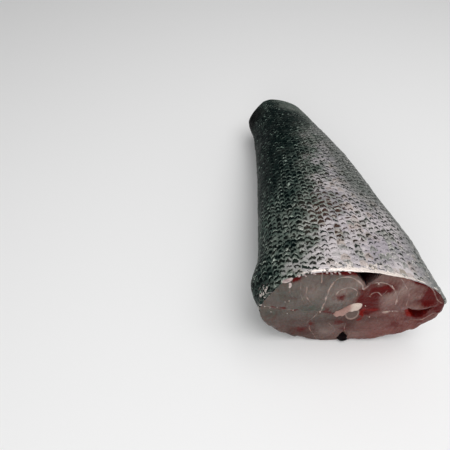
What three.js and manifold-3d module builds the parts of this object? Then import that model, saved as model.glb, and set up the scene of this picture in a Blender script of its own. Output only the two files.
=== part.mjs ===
// The tail section of a barracuda, lying on its side: millimetres, +Z up.
// The broad cut faces -Y and shows the steak; the body tapers along +Y to the cut at the tail root.
// The fish's back is on the -X side and its belly on the +X side.
import * as THREE from 'three';
import { mergeVertices } from 'three/addons/utils/BufferGeometryUtils.js';
import Module from 'manifold-3d';

const wasm = await Module();
wasm.setup();

// Driving dimensions.
const LENGTH = 237; // between the two cuts
const SKIN = 1.5; // hide and scales together
const GAP = 0.3; // between neighbouring pieces
const REST_DEPTH = 0.7; // how far the underside is pressed flat where the piece rests
const UNDERSIDE_RISE = 4; // how far the underside has lifted off at the tail cut
// Height of the back and the belly edge, as a share of the body's height.
const EDGE_HEIGHT = { back: 0.515, belly: 0.485 };
// How far the highest and the lowest line lie towards the back, as a share of the width.
const SHIFT = { upper: 0.115, lower: 0.02 };

// Evenly spaced from the broad cut to the tail cut.
const STATIONS = [
  { back: -60.6, belly: 61.4, top: 90.5 },
  { back: -59.1, belly: 53.9, top: 85.8 },
  { back: -56.5, belly: 41.6, top: 78.2 },
  { back: -54.8, belly: 29.2, top: 70.8 },
  { back: -54.6, belly: 14.3, top: 59.4 },
  { back: -59.0, belly: -0.2, top: 46.4 },
];

// Fullness of the section's quarters: 2 is an ellipse, more is boxier, less is leaner.
const FULLNESS = {
  upperBack: { atCut: 2.4, atTail: 1.6 },
  upperBelly: { atCut: 1.88, atTail: 1.81 },
  lowerBack: { atCut: 2.12, atTail: 1.9 },
  lowerBelly: { atCut: 2.1, atTail: 2.0 },
};

// The stump of the trimmed back fin swells the back edge just behind the broad cut.
const STUMP = { height: 5.3, along: 17.5, reach: 12.5, spread: 0.5 };

const CUT_MARGIN = 2; // how far a cutting solid runs past each cut

const BACKBONE = {
  cut: { x: 2.5, z: 39, radius: 4.9 },
  tail: { x: -30, z: 24.5, radius: 3.4 },
};

// The hollow where the upper muscle blocks part under the skin, and the end of the body cavity.
const HOLLOW = { left: -8, right: 9, top: 92, tipX: 0.7, tipZ: 75, depth: 12 };
const CAVITY = { left: 35.5, right: 52.5, z: 49, roofSag: 5, floorSag: 15.5, floorLean: 5, depth: 7 };

// Facets.
const AROUND = 48;
const ALONG = 20;
const BONE_AROUND = 20;

const stationCurve = new THREE.CatmullRomCurve3(
  STATIONS.map(({ back, belly, top }) => new THREE.Vector3(back, belly, top)),
  false,
  'catmullrom',
  0.5,
);

/** Edges of the body's section at a share of the length, from 0 at the broad cut to 1 at the tail. */
function edgesAt(share) {
  const { x: back, y: belly, z: top } = stationCurve.getPoint(share);
  const lift = Math.max(0, 2 * share - 1) ** 2 * UNDERSIDE_RISE;
  const bottom = lift - REST_DEPTH;
  const edgeHeight = (side) => bottom + (top - bottom) * EDGE_HEIGHT[side];
  return { back, belly, top, bottom, backEdge: edgeHeight('back'), bellyEdge: edgeHeight('belly') };
}

/** Swelling of the fin stump, in millimetres outwards, at an angle of the section and a length. */
function stumpSwell(angle, y) {
  const fromBack = Math.PI - Math.abs(angle);
  return STUMP.height * Math.exp(-(((y - STUMP.along) / STUMP.reach) ** 2) - (fromBack / STUMP.spread) ** 2);
}

/**
 * A point on the body's section, drawn in by an inset. Each quarter is a superellipse about its
 * highest or lowest line: |x / half width| to the power n plus |z / half height| to the power n
 * makes 1.
 */
function sectionPoint(angle, share, inset) {
  const edges = edgesAt(share);
  const c = Math.cos(angle);
  const s = Math.sin(angle);
  const half = s < 0 ? 'lower' : 'upper';
  const line = (edges.back + edges.belly) / 2 - SHIFT[half] * (edges.belly - edges.back);
  const halfWidth = (c < 0 ? line - edges.back : edges.belly - line) - inset;
  const middle = c < 0 ? edges.backEdge : edges.bellyEdge;
  const halfHeight = (s < 0 ? middle - edges.bottom : edges.top - middle) - inset;
  const quarter = half + (c < 0 ? 'Back' : 'Belly');
  const n = THREE.MathUtils.lerp(FULLNESS[quarter].atCut, FULLNESS[quarter].atTail, share);
  const reach = (Math.abs(c) ** n + Math.abs(s) ** n) ** (-1 / n);
  const swell = stumpSwell(angle, share * LENGTH);
  return { x: line + (halfWidth + swell) * reach * c, z: middle + halfHeight * reach * s };
}

/** Centre and radius of the backbone at a share of the length. */
function backboneAt(share) {
  const between = (key) => THREE.MathUtils.lerp(BACKBONE.cut[key], BACKBONE.tail[key], share);
  return { x: between('x'), z: between('z'), radius: between('radius') };
}

/** A closed solid from a cylinder whose vertices are moved to place(share, angle, radial share). */
function moulded(around, along, place) {
  const geometry = new THREE.CylinderGeometry(1, 1, 1, around, along);
  const position = geometry.getAttribute('position');
  for (let i = 0; i < position.count; i += 1) {
    const share = position.getY(i) + 0.5;
    const radial = Math.hypot(position.getX(i), position.getZ(i));
    const angle = Math.atan2(position.getZ(i), position.getX(i));
    const { x, y, z } = place(share, angle, radial);
    position.setXYZ(i, x, y, z);
  }
  return solid(geometry);
}

/** A length for a share, with the two ends run past the cuts by an overshoot. */
function overshot(share, overshoot) {
  const past = { 0: -overshoot, 1: overshoot }[share] ?? 0;
  return share * LENGTH + past;
}

/** The body, drawn in by an inset and run past both cuts by an overshoot. */
function bodySolid(inset, overshoot) {
  return moulded(AROUND, ALONG, (share, angle, radial) => {
    const rim = sectionPoint(angle, share, inset);
    const centre = backboneAt(share);
    return {
      x: THREE.MathUtils.lerp(centre.x, rim.x, radial),
      y: overshot(share, overshoot),
      z: THREE.MathUtils.lerp(centre.z, rim.z, radial),
    };
  });
}

/** The backbone, swollen by a clearance and run past both cuts by an overshoot. */
function backboneSolid(clearance, overshoot) {
  return moulded(BONE_AROUND, 1, (share, angle, radial) => {
    const y = overshot(share, overshoot);
    const { x, z, radius } = backboneAt(y / LENGTH);
    return {
      x: x + (radius + clearance) * radial * Math.cos(angle),
      y,
      z: z + (radius + clearance) * radial * Math.sin(angle),
    };
  });
}

/** A shape drawn on the broad cut, sunk into the flesh to a depth. */
function sunk(shape, depth) {
  const geometry = new THREE.ExtrudeGeometry(shape, { depth: depth + CUT_MARGIN, bevelEnabled: false });
  geometry.rotateX(Math.PI / 2);
  geometry.translate(0, depth, 0);
  return solid(geometry);
}

/** The hollow's outline: a wedge, open to the skin, whose two sides curve down to one tip. */
function hollowShape() {
  const { left, right, top, tipX, tipZ } = HOLLOW;
  const halfway = (top + tipZ) / 2;
  const shape = new THREE.Shape();
  shape.moveTo(left, top);
  shape.quadraticCurveTo((left + tipX) / 2, halfway, tipX, tipZ);
  shape.quadraticCurveTo((tipX + right) / 2, halfway, right, top);
  shape.closePath();
  return shape;
}

/** The cavity's outline: a roof and a floor that both sag between its two corners, the floor more. */
function cavityShape() {
  const { left, right, z, roofSag, floorSag, floorLean } = CAVITY;
  const middle = (left + right) / 2;
  const shape = new THREE.Shape();
  shape.moveTo(left, z);
  shape.quadraticCurveTo(middle + floorLean, z - 2 * floorSag, right, z);
  shape.quadraticCurveTo(middle, z - 2 * roofSag, left, z);
  return shape;
}

/** A closed three.js geometry as a solid for cutting. */
function solid(geometry) {
  geometry.deleteAttribute('normal');
  geometry.deleteAttribute('uv');
  const merged = mergeVertices(geometry, 1e-4);
  return new wasm.Manifold(new wasm.Mesh({
    numProp: 3,
    vertProperties: new Float32Array(merged.getAttribute('position').array),
    triVerts: new Uint32Array(merged.getIndex().array),
  }));
}

/** A named mesh from a solid, in a plain finish. */
function piece(name, body, color, roughness) {
  const { vertProperties, triVerts } = body.getMesh();
  const geometry = new THREE.BufferGeometry();
  geometry.setAttribute('position', new THREE.BufferAttribute(vertProperties, 3));
  geometry.setIndex(new THREE.BufferAttribute(triVerts, 1));
  geometry.computeVertexNormals();
  const mesh = new THREE.Mesh(geometry, new THREE.MeshStandardMaterial({ color, roughness, metalness: 0 }));
  mesh.name = name;
  return mesh;
}

/** Everything below the floor, to press the underside flat. */
function belowFloor() {
  const size = 3 * LENGTH;
  const block = new THREE.BoxGeometry(size, size, size);
  block.translate(0, 0, -size / 2);
  return solid(block);
}

const skin = bodySolid(0, 0).subtract(bodySolid(SKIN, CUT_MARGIN)).subtract(belowFloor());
const flesh = bodySolid(SKIN + GAP, 0)
  .subtract(backboneSolid(GAP, CUT_MARGIN))
  .subtract(sunk(hollowShape(), HOLLOW.depth))
  .subtract(sunk(cavityShape(), CAVITY.depth));
const backbone = backboneSolid(0, 0);

const tailSection = new THREE.Group();
tailSection.add(piece('skin', skin, 0x6f706c, 0.35));
tailSection.add(piece('flesh', flesh, 0x6e5a54, 0.3));
tailSection.add(piece('backbone', backbone, 0xb8a196, 0.35));

// The origin is under the middle of the piece, on the surface that it rests on.
const extent = new THREE.Box3().setFromObject(tailSection);
const middle = extent.getCenter(new THREE.Vector3());
tailSection.position.set(-middle.x, -middle.y, -extent.min.z);

export default tailSection;
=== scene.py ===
"""The tail section of a barracuda on its side, cut across to show the steak, on a pale floor.

Sizes are in millimetres in the fish's own frame: x runs from the middle of the broad cut towards the
belly (+) or the back (-), y from the broad cut towards the tail, z up from the floor. Placement turns
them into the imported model's frame, in metres.
"""

import logging
import math
from dataclasses import dataclass, field
from enum import Enum
from typing import Optional, Sequence, Union

import bpy
import numpy as np
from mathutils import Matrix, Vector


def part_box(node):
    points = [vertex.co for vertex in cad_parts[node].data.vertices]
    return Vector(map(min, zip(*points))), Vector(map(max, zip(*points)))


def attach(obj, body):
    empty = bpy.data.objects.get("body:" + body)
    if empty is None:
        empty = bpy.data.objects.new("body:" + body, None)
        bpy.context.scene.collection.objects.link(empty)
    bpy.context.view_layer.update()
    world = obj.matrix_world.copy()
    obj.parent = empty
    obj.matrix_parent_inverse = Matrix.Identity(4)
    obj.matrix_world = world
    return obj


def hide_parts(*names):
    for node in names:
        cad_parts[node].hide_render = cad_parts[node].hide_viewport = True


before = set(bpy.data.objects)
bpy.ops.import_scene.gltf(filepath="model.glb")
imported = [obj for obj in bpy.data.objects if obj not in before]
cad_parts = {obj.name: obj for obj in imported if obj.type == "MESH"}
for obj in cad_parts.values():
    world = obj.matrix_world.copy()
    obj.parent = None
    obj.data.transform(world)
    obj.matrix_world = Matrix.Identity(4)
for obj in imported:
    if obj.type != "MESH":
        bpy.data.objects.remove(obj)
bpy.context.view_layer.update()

LOG = logging.getLogger("barracuda")
MM = 0.001
Array = np.ndarray
Socket = bpy.types.NodeSocket
Value = Union[float, Socket]
Depth = Union[float, Array]
Colour = tuple[float, float, float]
Ends = tuple[float, float, float, float]  # where a plateau begins, is reached, is left and is over
Path = tuple[tuple[float, float, float, float], ...]  # x, y, z and radius at evenly spaced stations
Route = tuple[tuple[float, float], ...]  # x and z


def srgb(red: float, green: float, blue: float) -> Colour:
    """Turn a screen colour into the linear colour that shaders use.

    A channel c, as a share of 255, becomes ((c + 0.055) / 1.055)^2.4, or c / 12.92 where it is dark.

    Args:
        red: Red, 0 to 255.
        green: Green, 0 to 255.
        blue: Blue, 0 to 255.

    Returns:
        The linear colour, 0 to 1 a channel.
    """
    parts = np.array([red, green, blue]) / 255.0
    linear = np.where(parts <= 0.04045, parts / 12.92, ((parts + 0.055) / 1.055) ** 2.4)
    return tuple(float(part) for part in linear)


def smoothstep(low: float, high: float, value: Array) -> Array:
    """Rise from 0 at low to 1 at high along 3t^2 - 2t^3."""
    t = np.clip((value - low) / (high - low), 0.0, 1.0)
    return t * t * (3.0 - 2.0 * t)


def bell(offset: Array) -> Array:
    """The bell curve e to the power -offset squared."""
    return np.exp(-(offset**2))


def plateau(value: Array, ends: Ends) -> Array:
    """Rise from 0 to 1 between the first two ends and fall back to 0 between the last two."""
    return smoothstep(ends[0], ends[1], value) * smoothstep(ends[3], ends[2], value)


class Grain:
    """Seeded smooth noise in space, for unevenness that is cut into a mesh."""

    CELLS = 32

    def __init__(self, seed: int) -> None:
        """Draw the random corner values.

        Args:
            seed: Start of the random draw.
        """
        draw = np.random.default_rng(seed)
        self.corners = draw.uniform(-1.0, 1.0, (self.CELLS,) * 3)

    def at(self, points: Array, size: float) -> Array:
        """Noise from -1 to 1: corner values of cells blended with 3t^2 - 2t^3 along each axis.

        Args:
            points: Places in millimetres, in the last axis.
            size: Width of a cell in millimetres.

        Returns:
            One value for each place.
        """
        scaled = points / size
        cell = np.floor(scaled).astype(int)
        part = smoothstep(0.0, 1.0, scaled - cell)
        total = np.zeros(points.shape[:-1])
        for corner in np.ndindex(2, 2, 2):
            i, j, k = np.moveaxis((cell + corner) % self.CELLS, -1, 0)
            weight = np.prod(np.where(corner, part, 1.0 - part), axis=-1)
            total += weight * self.corners[i, j, k]
        return total


@dataclass(frozen=True)
class Body:
    """The outer form of the section between its two cuts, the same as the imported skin's."""

    length: float = 237.0
    back: tuple[float, ...] = (-60.6, -59.1, -56.5, -54.8, -54.6, -59.0)
    belly: tuple[float, ...] = (61.4, 53.9, 41.6, 29.2, 14.3, -0.2)
    top: tuple[float, ...] = (90.5, 85.8, 78.2, 70.8, 59.4, 46.4)
    rest_depth: float = 0.7
    underside_rise: float = 4.0
    back_height: float = 0.515
    belly_height: float = 0.485
    upper_shift: float = 0.115
    lower_shift: float = 0.02
    upper_back_fullness: tuple[float, float] = (2.4, 1.6)
    upper_belly_fullness: tuple[float, float] = (1.88, 1.81)
    lower_back_fullness: tuple[float, float] = (2.12, 1.9)
    lower_belly_fullness: tuple[float, float] = (2.1, 2.0)
    stump_height: float = 5.3
    stump_along: float = 17.5
    stump_reach: float = 12.5
    stump_spread: float = 0.5
    tip_spread: float = 0.13
    bevel_from: float = -44.5
    bevel_slope: float = 0.62
    bevel_reach: float = 45.0
    fine_steps: int = 1440
    vertebra_cut: tuple[float, float, float, float] = (1.3, 40.6, 4.6, 6.2)
    vertebra_tail: tuple[float, float, float, float] = (-30.0, 24.5, 3.3, 3.5)

    @staticmethod
    def along(stations: Sequence[float], share: Array) -> Array:
        """Smooth curve through evenly spaced stations: cubics whose slopes are half the neighbours' step.

        Args:
            stations: Values from the broad cut to the tail cut.
            share: Share of the length, 0 at the broad cut and 1 at the tail.

        Returns:
            The value at each share.
        """
        values = np.asarray(stations)
        padded = np.concatenate([[2 * values[0] - values[1]], values, [2 * values[-1] - values[-2]]])
        spans = len(values) - 1
        place = np.clip(share, 0.0, 1.0) * spans
        first = np.minimum(place.astype(int), spans - 1)
        t = place - first
        before, start, end, after = (padded[first + step] for step in range(4))
        slope_in = (end - before) / 2
        slope_out = (after - start) / 2
        cubic = 2 * (start - end) + slope_in + slope_out
        square = 3 * (end - start) - 2 * slope_in - slope_out
        return ((cubic * t + square) * t + slope_in) * t + start

    def bottom(self, share: Array) -> Array:
        """Lowest height: level for half the length, then rising as the square of the share beyond."""
        return np.maximum(0.0, 2 * share - 1) ** 2 * self.underside_rise - self.rest_depth

    def middle(self, share: Array, rear: Array) -> Array:
        """Height of the back or belly edge: its share of the way from the lowest line to the highest.

        Args:
            share: Share of the length.
            rear: True for the back edge, false for the belly edge.

        Returns:
            The height.
        """
        low = self.bottom(share)
        height = np.where(rear, self.back_height, self.belly_height)
        return low + (self.along(self.top, share) - low) * height

    def across(self, x: Array, share: Array) -> Array:
        """Share of the depth from the back edge, 0, to the belly edge, 1."""
        back = self.along(self.back, share)
        return (x - back) / (self.along(self.belly, share) - back)

    def section(self, angle: Array, share: Array, inset: Depth = 0.0) -> tuple[Array, Array]:
        """Point on a section, where each quarter is a superellipse about its highest or lowest line.

        |x / half width|^n + |z / half height|^n = 1, with the fin's stump swelling the back edge by a bell
        curve of the length and of the angle.

        Args:
            angle: Angle from the belly edge, positive over the top.
            share: Share of the length.
            inset: How far inside the skin's outer face.

        Returns:
            x and z.
        """
        c, s = np.cos(angle), np.sin(angle)
        upper, rear = s >= 0, c < 0
        back, belly = self.along(self.back, share), self.along(self.belly, share)
        low, high, mid = self.bottom(share), self.along(self.top, share), self.middle(share, rear)
        line = (back + belly) / 2 - np.where(upper, self.upper_shift, self.lower_shift) * (belly - back)
        half_width = np.where(rear, line - back, belly - line) - inset
        half_height = np.where(upper, high - mid, mid - low) - inset
        at_cut, at_tail = (
            np.where(
                upper,
                np.where(rear, self.upper_back_fullness[end], self.upper_belly_fullness[end]),
                np.where(rear, self.lower_back_fullness[end], self.lower_belly_fullness[end]),
            )
            for end in (0, 1)
        )
        power = at_cut + (at_tail - at_cut) * share
        reach = (np.abs(c) ** power + np.abs(s) ** power) ** (-1.0 / power)
        from_back = math.pi - np.abs(angle)
        swell = self.stump_height * bell((share * self.length - self.stump_along) / self.stump_reach)
        swell = swell * bell(from_back / self.stump_spread)
        return line + (half_width + swell) * reach * c, mid + half_height * reach * s

    def even_angles(self, share: float, count: int) -> Array:
        """Angles of points that are evenly spaced round a section, from the belly edge over the top.

        The length round the section is summed over fine steps, and the angle is read off it.

        Args:
            share: Share of the length.
            count: How many points.

        Returns:
            The angles, from -pi to pi.
        """
        angle = np.linspace(0.0, 2 * math.pi, self.fine_steps + 1)
        angle = np.where(angle > math.pi, angle - 2 * math.pi, angle)
        x, z = self.section(angle, np.full_like(angle, share))
        run = np.concatenate([[0.0], np.cumsum(np.hypot(np.diff(x), np.diff(z)))])
        even = np.interp(np.arange(count) / count, run / run[-1], np.linspace(0.0, 2 * math.pi, angle.size))
        return np.where(even > math.pi, even - 2 * math.pi, even)

    def trim(self, points: Array) -> Array:
        """Bevel the tail cut's back corner: y drops by the slope times the distance behind its start.

        Args:
            points: Places on or in the section.

        Returns:
            The same places, those near the corner moved.
        """
        drop = self.bevel_slope * np.maximum(self.bevel_from - points[..., 0], 0.0)
        near = smoothstep(self.length - self.bevel_reach, self.length, points[..., 1])
        trimmed = points.copy()
        trimmed[..., 1] -= drop * near
        return trimmed

    def vertebra(self, share: float) -> tuple[float, float, float, float]:
        """x, z and half widths of the backbone at a share: it runs straight and grows rounder."""
        return tuple(a + (b - a) * share for a, b in zip(self.vertebra_cut, self.vertebra_tail))


class Placement:
    """Where the fish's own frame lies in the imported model's frame."""

    def __init__(self, body: Body) -> None:
        """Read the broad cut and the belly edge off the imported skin."""
        low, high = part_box("skin")
        self.shift = np.array([high[0] / MM - body.belly[0], low[1] / MM, 0.0])

    def __call__(self, points: Array) -> Array:
        """Turn places in the fish's frame, in millimetres, into metres in the model's frame."""
        return (points + self.shift) * MM


BODY = Body()
PLACE = Placement(BODY)


@dataclass
class Grid:
    """A grid of points, row by row, whose columns close on themselves.

    The rows close too, as round a ring, or end in open edges or in poles.
    """

    points: Array
    closed: bool = False
    first_pole: Optional[Array] = None
    last_pole: Optional[Array] = None
    values: dict[str, Array] = field(default_factory=dict)

    def places(self) -> Array:
        """Every point, with the poles last."""
        poles = [pole for pole in (self.first_pole, self.last_pole) if pole is not None]
        return np.concatenate([self.points.reshape(-1, 3), *[np.reshape(pole, (1, 3)) for pole in poles]])

    def value(self, label: str) -> Array:
        """A value at every point, where a pole has the mean of its row.

        Args:
            label: The value's name.

        Returns:
            The values, in the order of places.
        """
        grid = self.values[label]
        ends = [
            [row.mean()]
            for row, pole in ((grid[0], self.first_pole), (grid[-1], self.last_pole))
            if pole is not None
        ]
        return np.concatenate([grid.ravel(), *ends])

    def faces(self) -> tuple[Array, Array]:
        """Quads between neighbouring rows and columns, and the triangles round the poles.

        Returns:
            The quads and the triangles, as rows of vertex numbers.
        """
        rows, columns = self.points.shape[:2]
        number = np.arange(rows * columns).reshape(rows, columns)
        low = number if self.closed else number[:-1]
        high = np.roll(number, -1, axis=0) if self.closed else number[1:]
        corners = [low, high, np.roll(high, -1, axis=1), np.roll(low, -1, axis=1)]
        quads = np.stack(corners, axis=-1).reshape(-1, 4)
        fans = [np.zeros((0, 3), int)]
        pole = rows * columns
        if self.first_pole is not None:
            fans.append(np.stack([np.full(columns, pole), number[0], np.roll(number[0], -1)], axis=-1))
            pole += 1
        if self.last_pole is not None:
            fans.append(np.stack([number[-1], np.full(columns, pole), np.roll(number[-1], -1)], axis=-1))
        return quads, np.concatenate(fans)


def make_piece(name: str, *grids: Grid) -> bpy.types.Object:
    """Put grids into one new object of the scene.

    Args:
        name: The piece's name.
        grids: Its closed shapes, which all have the same values.

    Returns:
        The object, with its place in its mesh.
    """
    corners, sizes, first = [], [], 0
    for grid in grids:
        for faces in grid.faces():
            corners.append(faces.ravel() + first)
            sizes.append(np.full(len(faces), faces.shape[1]))
        first += len(grid.places())
    corners, sizes = np.concatenate(corners), np.concatenate(sizes)
    places = np.concatenate([grid.places() for grid in grids])
    mesh = bpy.data.meshes.new(name)
    mesh.vertices.add(len(places))
    mesh.vertices.foreach_set("co", PLACE(places).ravel())
    mesh.loops.add(len(corners))
    mesh.loops.foreach_set("vertex_index", corners)
    mesh.polygons.add(len(sizes))
    mesh.polygons.foreach_set("loop_start", np.cumsum(sizes) - sizes)
    mesh.polygons.foreach_set("use_smooth", np.ones(len(sizes), bool))
    for label in grids[0].values:
        layer = mesh.attributes.new(label, "FLOAT", "POINT")
        layer.data.foreach_set("value", np.concatenate([grid.value(label) for grid in grids]))
    mesh.update(calc_edges=True)
    mesh.validate()
    piece = bpy.data.objects.new(name, mesh)
    bpy.context.scene.collection.objects.link(piece)
    return piece


def add_chart(mesh: bpy.types.Mesh, chart: Array, span: float) -> None:
    """Write a grid's own coordinates as its UV map, stepping on by a span where its columns close.

    Args:
        mesh: The mesh of one grid whose rows close.
        chart: The two coordinates of each point.
        span: How much the first coordinate grows once round.
    """
    columns = chart.shape[1]
    corners = np.empty(len(mesh.loops), int)
    mesh.loops.foreach_get("vertex_index", corners)
    quads = corners.reshape(-1, 4)
    spread = chart.reshape(-1, 2)[quads]
    wrapped = quads % columns == 0
    at_seam = (quads % columns == columns - 1).any(axis=1, keepdims=True)
    spread[..., 0] += span * (wrapped & at_seam)
    mesh.uv_layers.new(name="chart").data.foreach_set("uv", spread.ravel())


FIRST_RING = 0.05  # where a strand's rings begin, as a share of half a turn
TIP = 0.3  # how far its poles stand off, in radii of its end rings


def strand(
    path: Path,
    steps: int = 24,
    around: int = 16,
    flatness: float = 1.0,
    roundness: float = 2.0,
) -> Grid:
    """A closed lump along a curve.

    Each ring lies across the curve: centre plus radius times (cosine times side plus flatness times sine
    times out), where side lies in the plane of the cut. The radius falls towards both ends as the square
    root of 1 - |2 share - 1|^roundness.

    Args:
        path: x, y, z and radius at evenly spaced stations.
        steps: How many rings.
        around: How many points a ring has.
        flatness: Thickness out of the cut, as a share of the width in it.
        roundness: 2 makes an ellipsoid's ends, and more makes blunter ones.

    Returns:
        The lump, with poles at its ends.
    """
    share = (1.0 - np.cos(np.linspace(FIRST_RING, 1.0 - FIRST_RING, steps) * math.pi)) / 2
    x, y, z, radius = (Body.along(values, share) for values in np.array(path).T)
    radius = radius * np.sqrt(1.0 - np.abs(2 * share - 1) ** roundness)
    centre = np.stack([x, y, z], axis=-1)
    ahead = np.gradient(centre, axis=0)
    ahead /= np.linalg.norm(ahead, axis=1, keepdims=True)
    side = np.cross(ahead, [0.0, 1.0, 0.0])
    side /= np.linalg.norm(side, axis=1, keepdims=True)
    out = np.cross(side, ahead)
    angle = np.arange(around)[:, None] / around * 2 * math.pi
    ring = np.cos(angle) * side[:, None] + flatness * np.sin(angle) * out[:, None]
    points = centre[:, None] + radius[:, None, None] * ring
    return Grid(points, first_pole=centre[0] - TIP * radius[0] * ahead[0],
                last_pole=centre[-1] + TIP * radius[-1] * ahead[-1])


EVERYWHERE = (-2.0, -1.0)  # a step that is over before the section begins


@dataclass(frozen=True)
class Zone:
    """A soft-edged zone of the hide. A step rises from 0 at its first number to 1 at its second."""

    strength: float = 1.0
    across: tuple[float, float] = EVERYWHERE
    share: tuple[float, float] = EVERYWHERE

    def cover(self, across: Array, share: Array) -> Array:
        """Strength times the steps over the depth, from the back, and over the length."""
        return self.strength * smoothstep(*self.across, across) * smoothstep(*self.share, share)


@dataclass(frozen=True)
class Spot:
    """A soft round or oval patch on a cut, or on the hide laid flat."""

    x: float
    z: float
    half_x: float
    half_z: float
    strength: float = 1.0
    turn: float = 0.0

    def cover(self, places: Array) -> Array:
        """Strength times the bell curve of the distance in half widths.

        Args:
            places: The two coordinates of each place, in the last axis.

        Returns:
            A value for each place.
        """
        turn = math.radians(self.turn)
        off = places - np.array([self.x, self.z])
        along = off @ np.array([math.cos(turn), math.sin(turn)]) / self.half_x
        up = off @ np.array([-math.sin(turn), math.cos(turn)]) / self.half_z
        return self.strength * bell(np.hypot(along, up))


def settle(piece: bpy.types.Object, slot: str, material: bpy.types.Material, *nodes: str) -> bpy.types.Object:
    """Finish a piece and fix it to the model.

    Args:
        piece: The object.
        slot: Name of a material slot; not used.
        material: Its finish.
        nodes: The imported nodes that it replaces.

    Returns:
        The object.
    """
    piece.data.materials.append(material)
    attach(piece, "root")
    if nodes:
        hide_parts(*nodes)
    LOG.info("%s: %d triangles", piece.name, len(piece.data.loops) - 2 * len(piece.data.polygons))
    return piece


# ---------------------------------------------------------------------------------------------------
# Shader wiring
# ---------------------------------------------------------------------------------------------------


class Bench:
    """A node tree with short ways to wire it up."""

    MIX_FIRST, MIX_SECOND, MIX_RESULT = 6, 7, 2  # the colour sockets of a Mix node

    def __init__(self, tree: bpy.types.NodeTree) -> None:
        """Work on a tree."""
        self.tree = tree

    def node(self, kind: str, **settings: object) -> bpy.types.Node:
        """Add a node.

        Args:
            kind: Its kind, such as TexNoise.
            settings: Its settings.

        Returns:
            The node.
        """
        made = self.tree.nodes.new("ShaderNode" + kind)
        for key, value in settings.items():
            setattr(made, key, value)
        return made

    def plug(self, socket: Socket, value: object) -> None:
        """Link a source to a socket, or set the socket's value.

        Args:
            socket: The input.
            value: A socket, a number, a vector or a colour.
        """
        if isinstance(value, bpy.types.NodeSocket):
            self.tree.links.new(value, socket)
        elif isinstance(value, tuple) and socket.type == "RGBA":
            socket.default_value = (*value, 1.0)
        else:
            socket.default_value = value

    def math(self, operation: str, *values: Value, clamp: bool = False) -> Socket:
        """One arithmetic step on numbers.

        Args:
            operation: The Math node's operation.
            values: Its numbers.
            clamp: Whether the result is kept from 0 to 1.

        Returns:
            The result.
        """
        made = self.node("Math", operation=operation, use_clamp=clamp)
        for socket, value in zip(made.inputs, values):
            self.plug(socket, value)
        return made.outputs[0]

    def product(self, first: Value, *others: Value) -> Socket:
        """Product of numbers.

        Args:
            first: The first number.
            others: The others.

        Returns:
            The product.
        """
        for other in others:
            first = self.math("MULTIPLY", first, other)
        return first

    def total(self, *terms: tuple[Value, float]) -> Socket:
        """Weighted sum of numbers.

        Args:
            terms: Each number with its weight.

        Returns:
            The sum.
        """
        made = 0.0
        for value, weight in terms:
            made = self.math("MULTIPLY_ADD", value, weight, made)
        return made

    def ramp(self, value: Value, low: Value, high: Value, start: Value = 0.0, end: Value = 1.0) -> Socket:
        """Smooth change along 3t^2 - 2t^3.

        Args:
            value: What it depends on.
            low: Where the change begins.
            high: Where it is complete.
            start: Result up to low.
            end: Result from high on.

        Returns:
            The result.
        """
        made = self.node("MapRange", interpolation_type="SMOOTHSTEP")
        names = ("Value", "From Min", "From Max", "To Min", "To Max")
        for name, given in zip(names, (value, low, high, start, end)):
            self.plug(made.inputs[name], given)
        return made.outputs["Result"]

    def mix(self, factor: Value, first: object, second: object) -> Socket:
        """Blend of two colours.

        Args:
            factor: Share of the second one, from 0 to 1.
            first: The first colour.
            second: The second colour.

        Returns:
            The blend.
        """
        made = self.node("Mix", data_type="RGBA")
        self.plug(made.inputs[0], factor)
        self.plug(made.inputs[self.MIX_FIRST], first)
        self.plug(made.inputs[self.MIX_SECOND], second)
        return made.outputs[self.MIX_RESULT]

    def noise(self, place: Socket, scale: Value, detail: float = 3.0, rough: float = 0.55) -> Socket:
        """Cloudy noise from 0 to 1.

        Args:
            place: Coordinates, in metres.
            scale: Clouds a metre.
            detail: How many finer layers lie on the coarse one.
            rough: How strong each finer layer is.

        Returns:
            The noise.
        """
        made = self.node("TexNoise")
        for key, value in (("Vector", place), ("Scale", scale), ("Detail", detail), ("Roughness", rough)):
            self.plug(made.inputs[key], value)
        return made.outputs["Fac"]

    def attribute(self, name: str) -> Socket:
        """A value that is stored on the mesh's points."""
        return self.node("Attribute", attribute_name=name).outputs["Fac"]

    def group(self, tree: bpy.types.NodeTree, **inputs: object) -> bpy.types.Node:
        """Place a node group.

        Args:
            tree: The group.
            inputs: Values or sources of its inputs.

        Returns:
            The group's node.
        """
        made = self.node("Group", node_tree=tree)
        for key, value in inputs.items():
            self.plug(made.inputs[key], value)
        return made


def new_group(name: str, inputs: dict[str, object], outputs: dict[str, str]) -> tuple[Bench, dict, dict]:
    """Start a shader node group.

    Args:
        name: Its name.
        inputs: Starting value of each input, None for a vector.
        outputs: Kind of each output: Float, Vector or Color.

    Returns:
        A bench on the group, the sockets that carry its inputs, and the sockets that take its outputs.
    """
    tree = bpy.data.node_groups.new(name, "ShaderNodeTree")
    for label, start in inputs.items():
        kind = "NodeSocketVector" if start is None else "NodeSocketFloat"
        socket = tree.interface.new_socket(label, in_out="INPUT", socket_type=kind)
        if start is not None:
            socket.default_value = start
    for label, kind in outputs.items():
        tree.interface.new_socket(label, in_out="OUTPUT", socket_type="NodeSocket" + kind)
    given = tree.nodes.new("NodeGroupInput").outputs
    taken = tree.nodes.new("NodeGroupOutput").inputs
    return Bench(tree), {socket.name: socket for socket in given}, {socket.name: socket for socket in taken}


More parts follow.
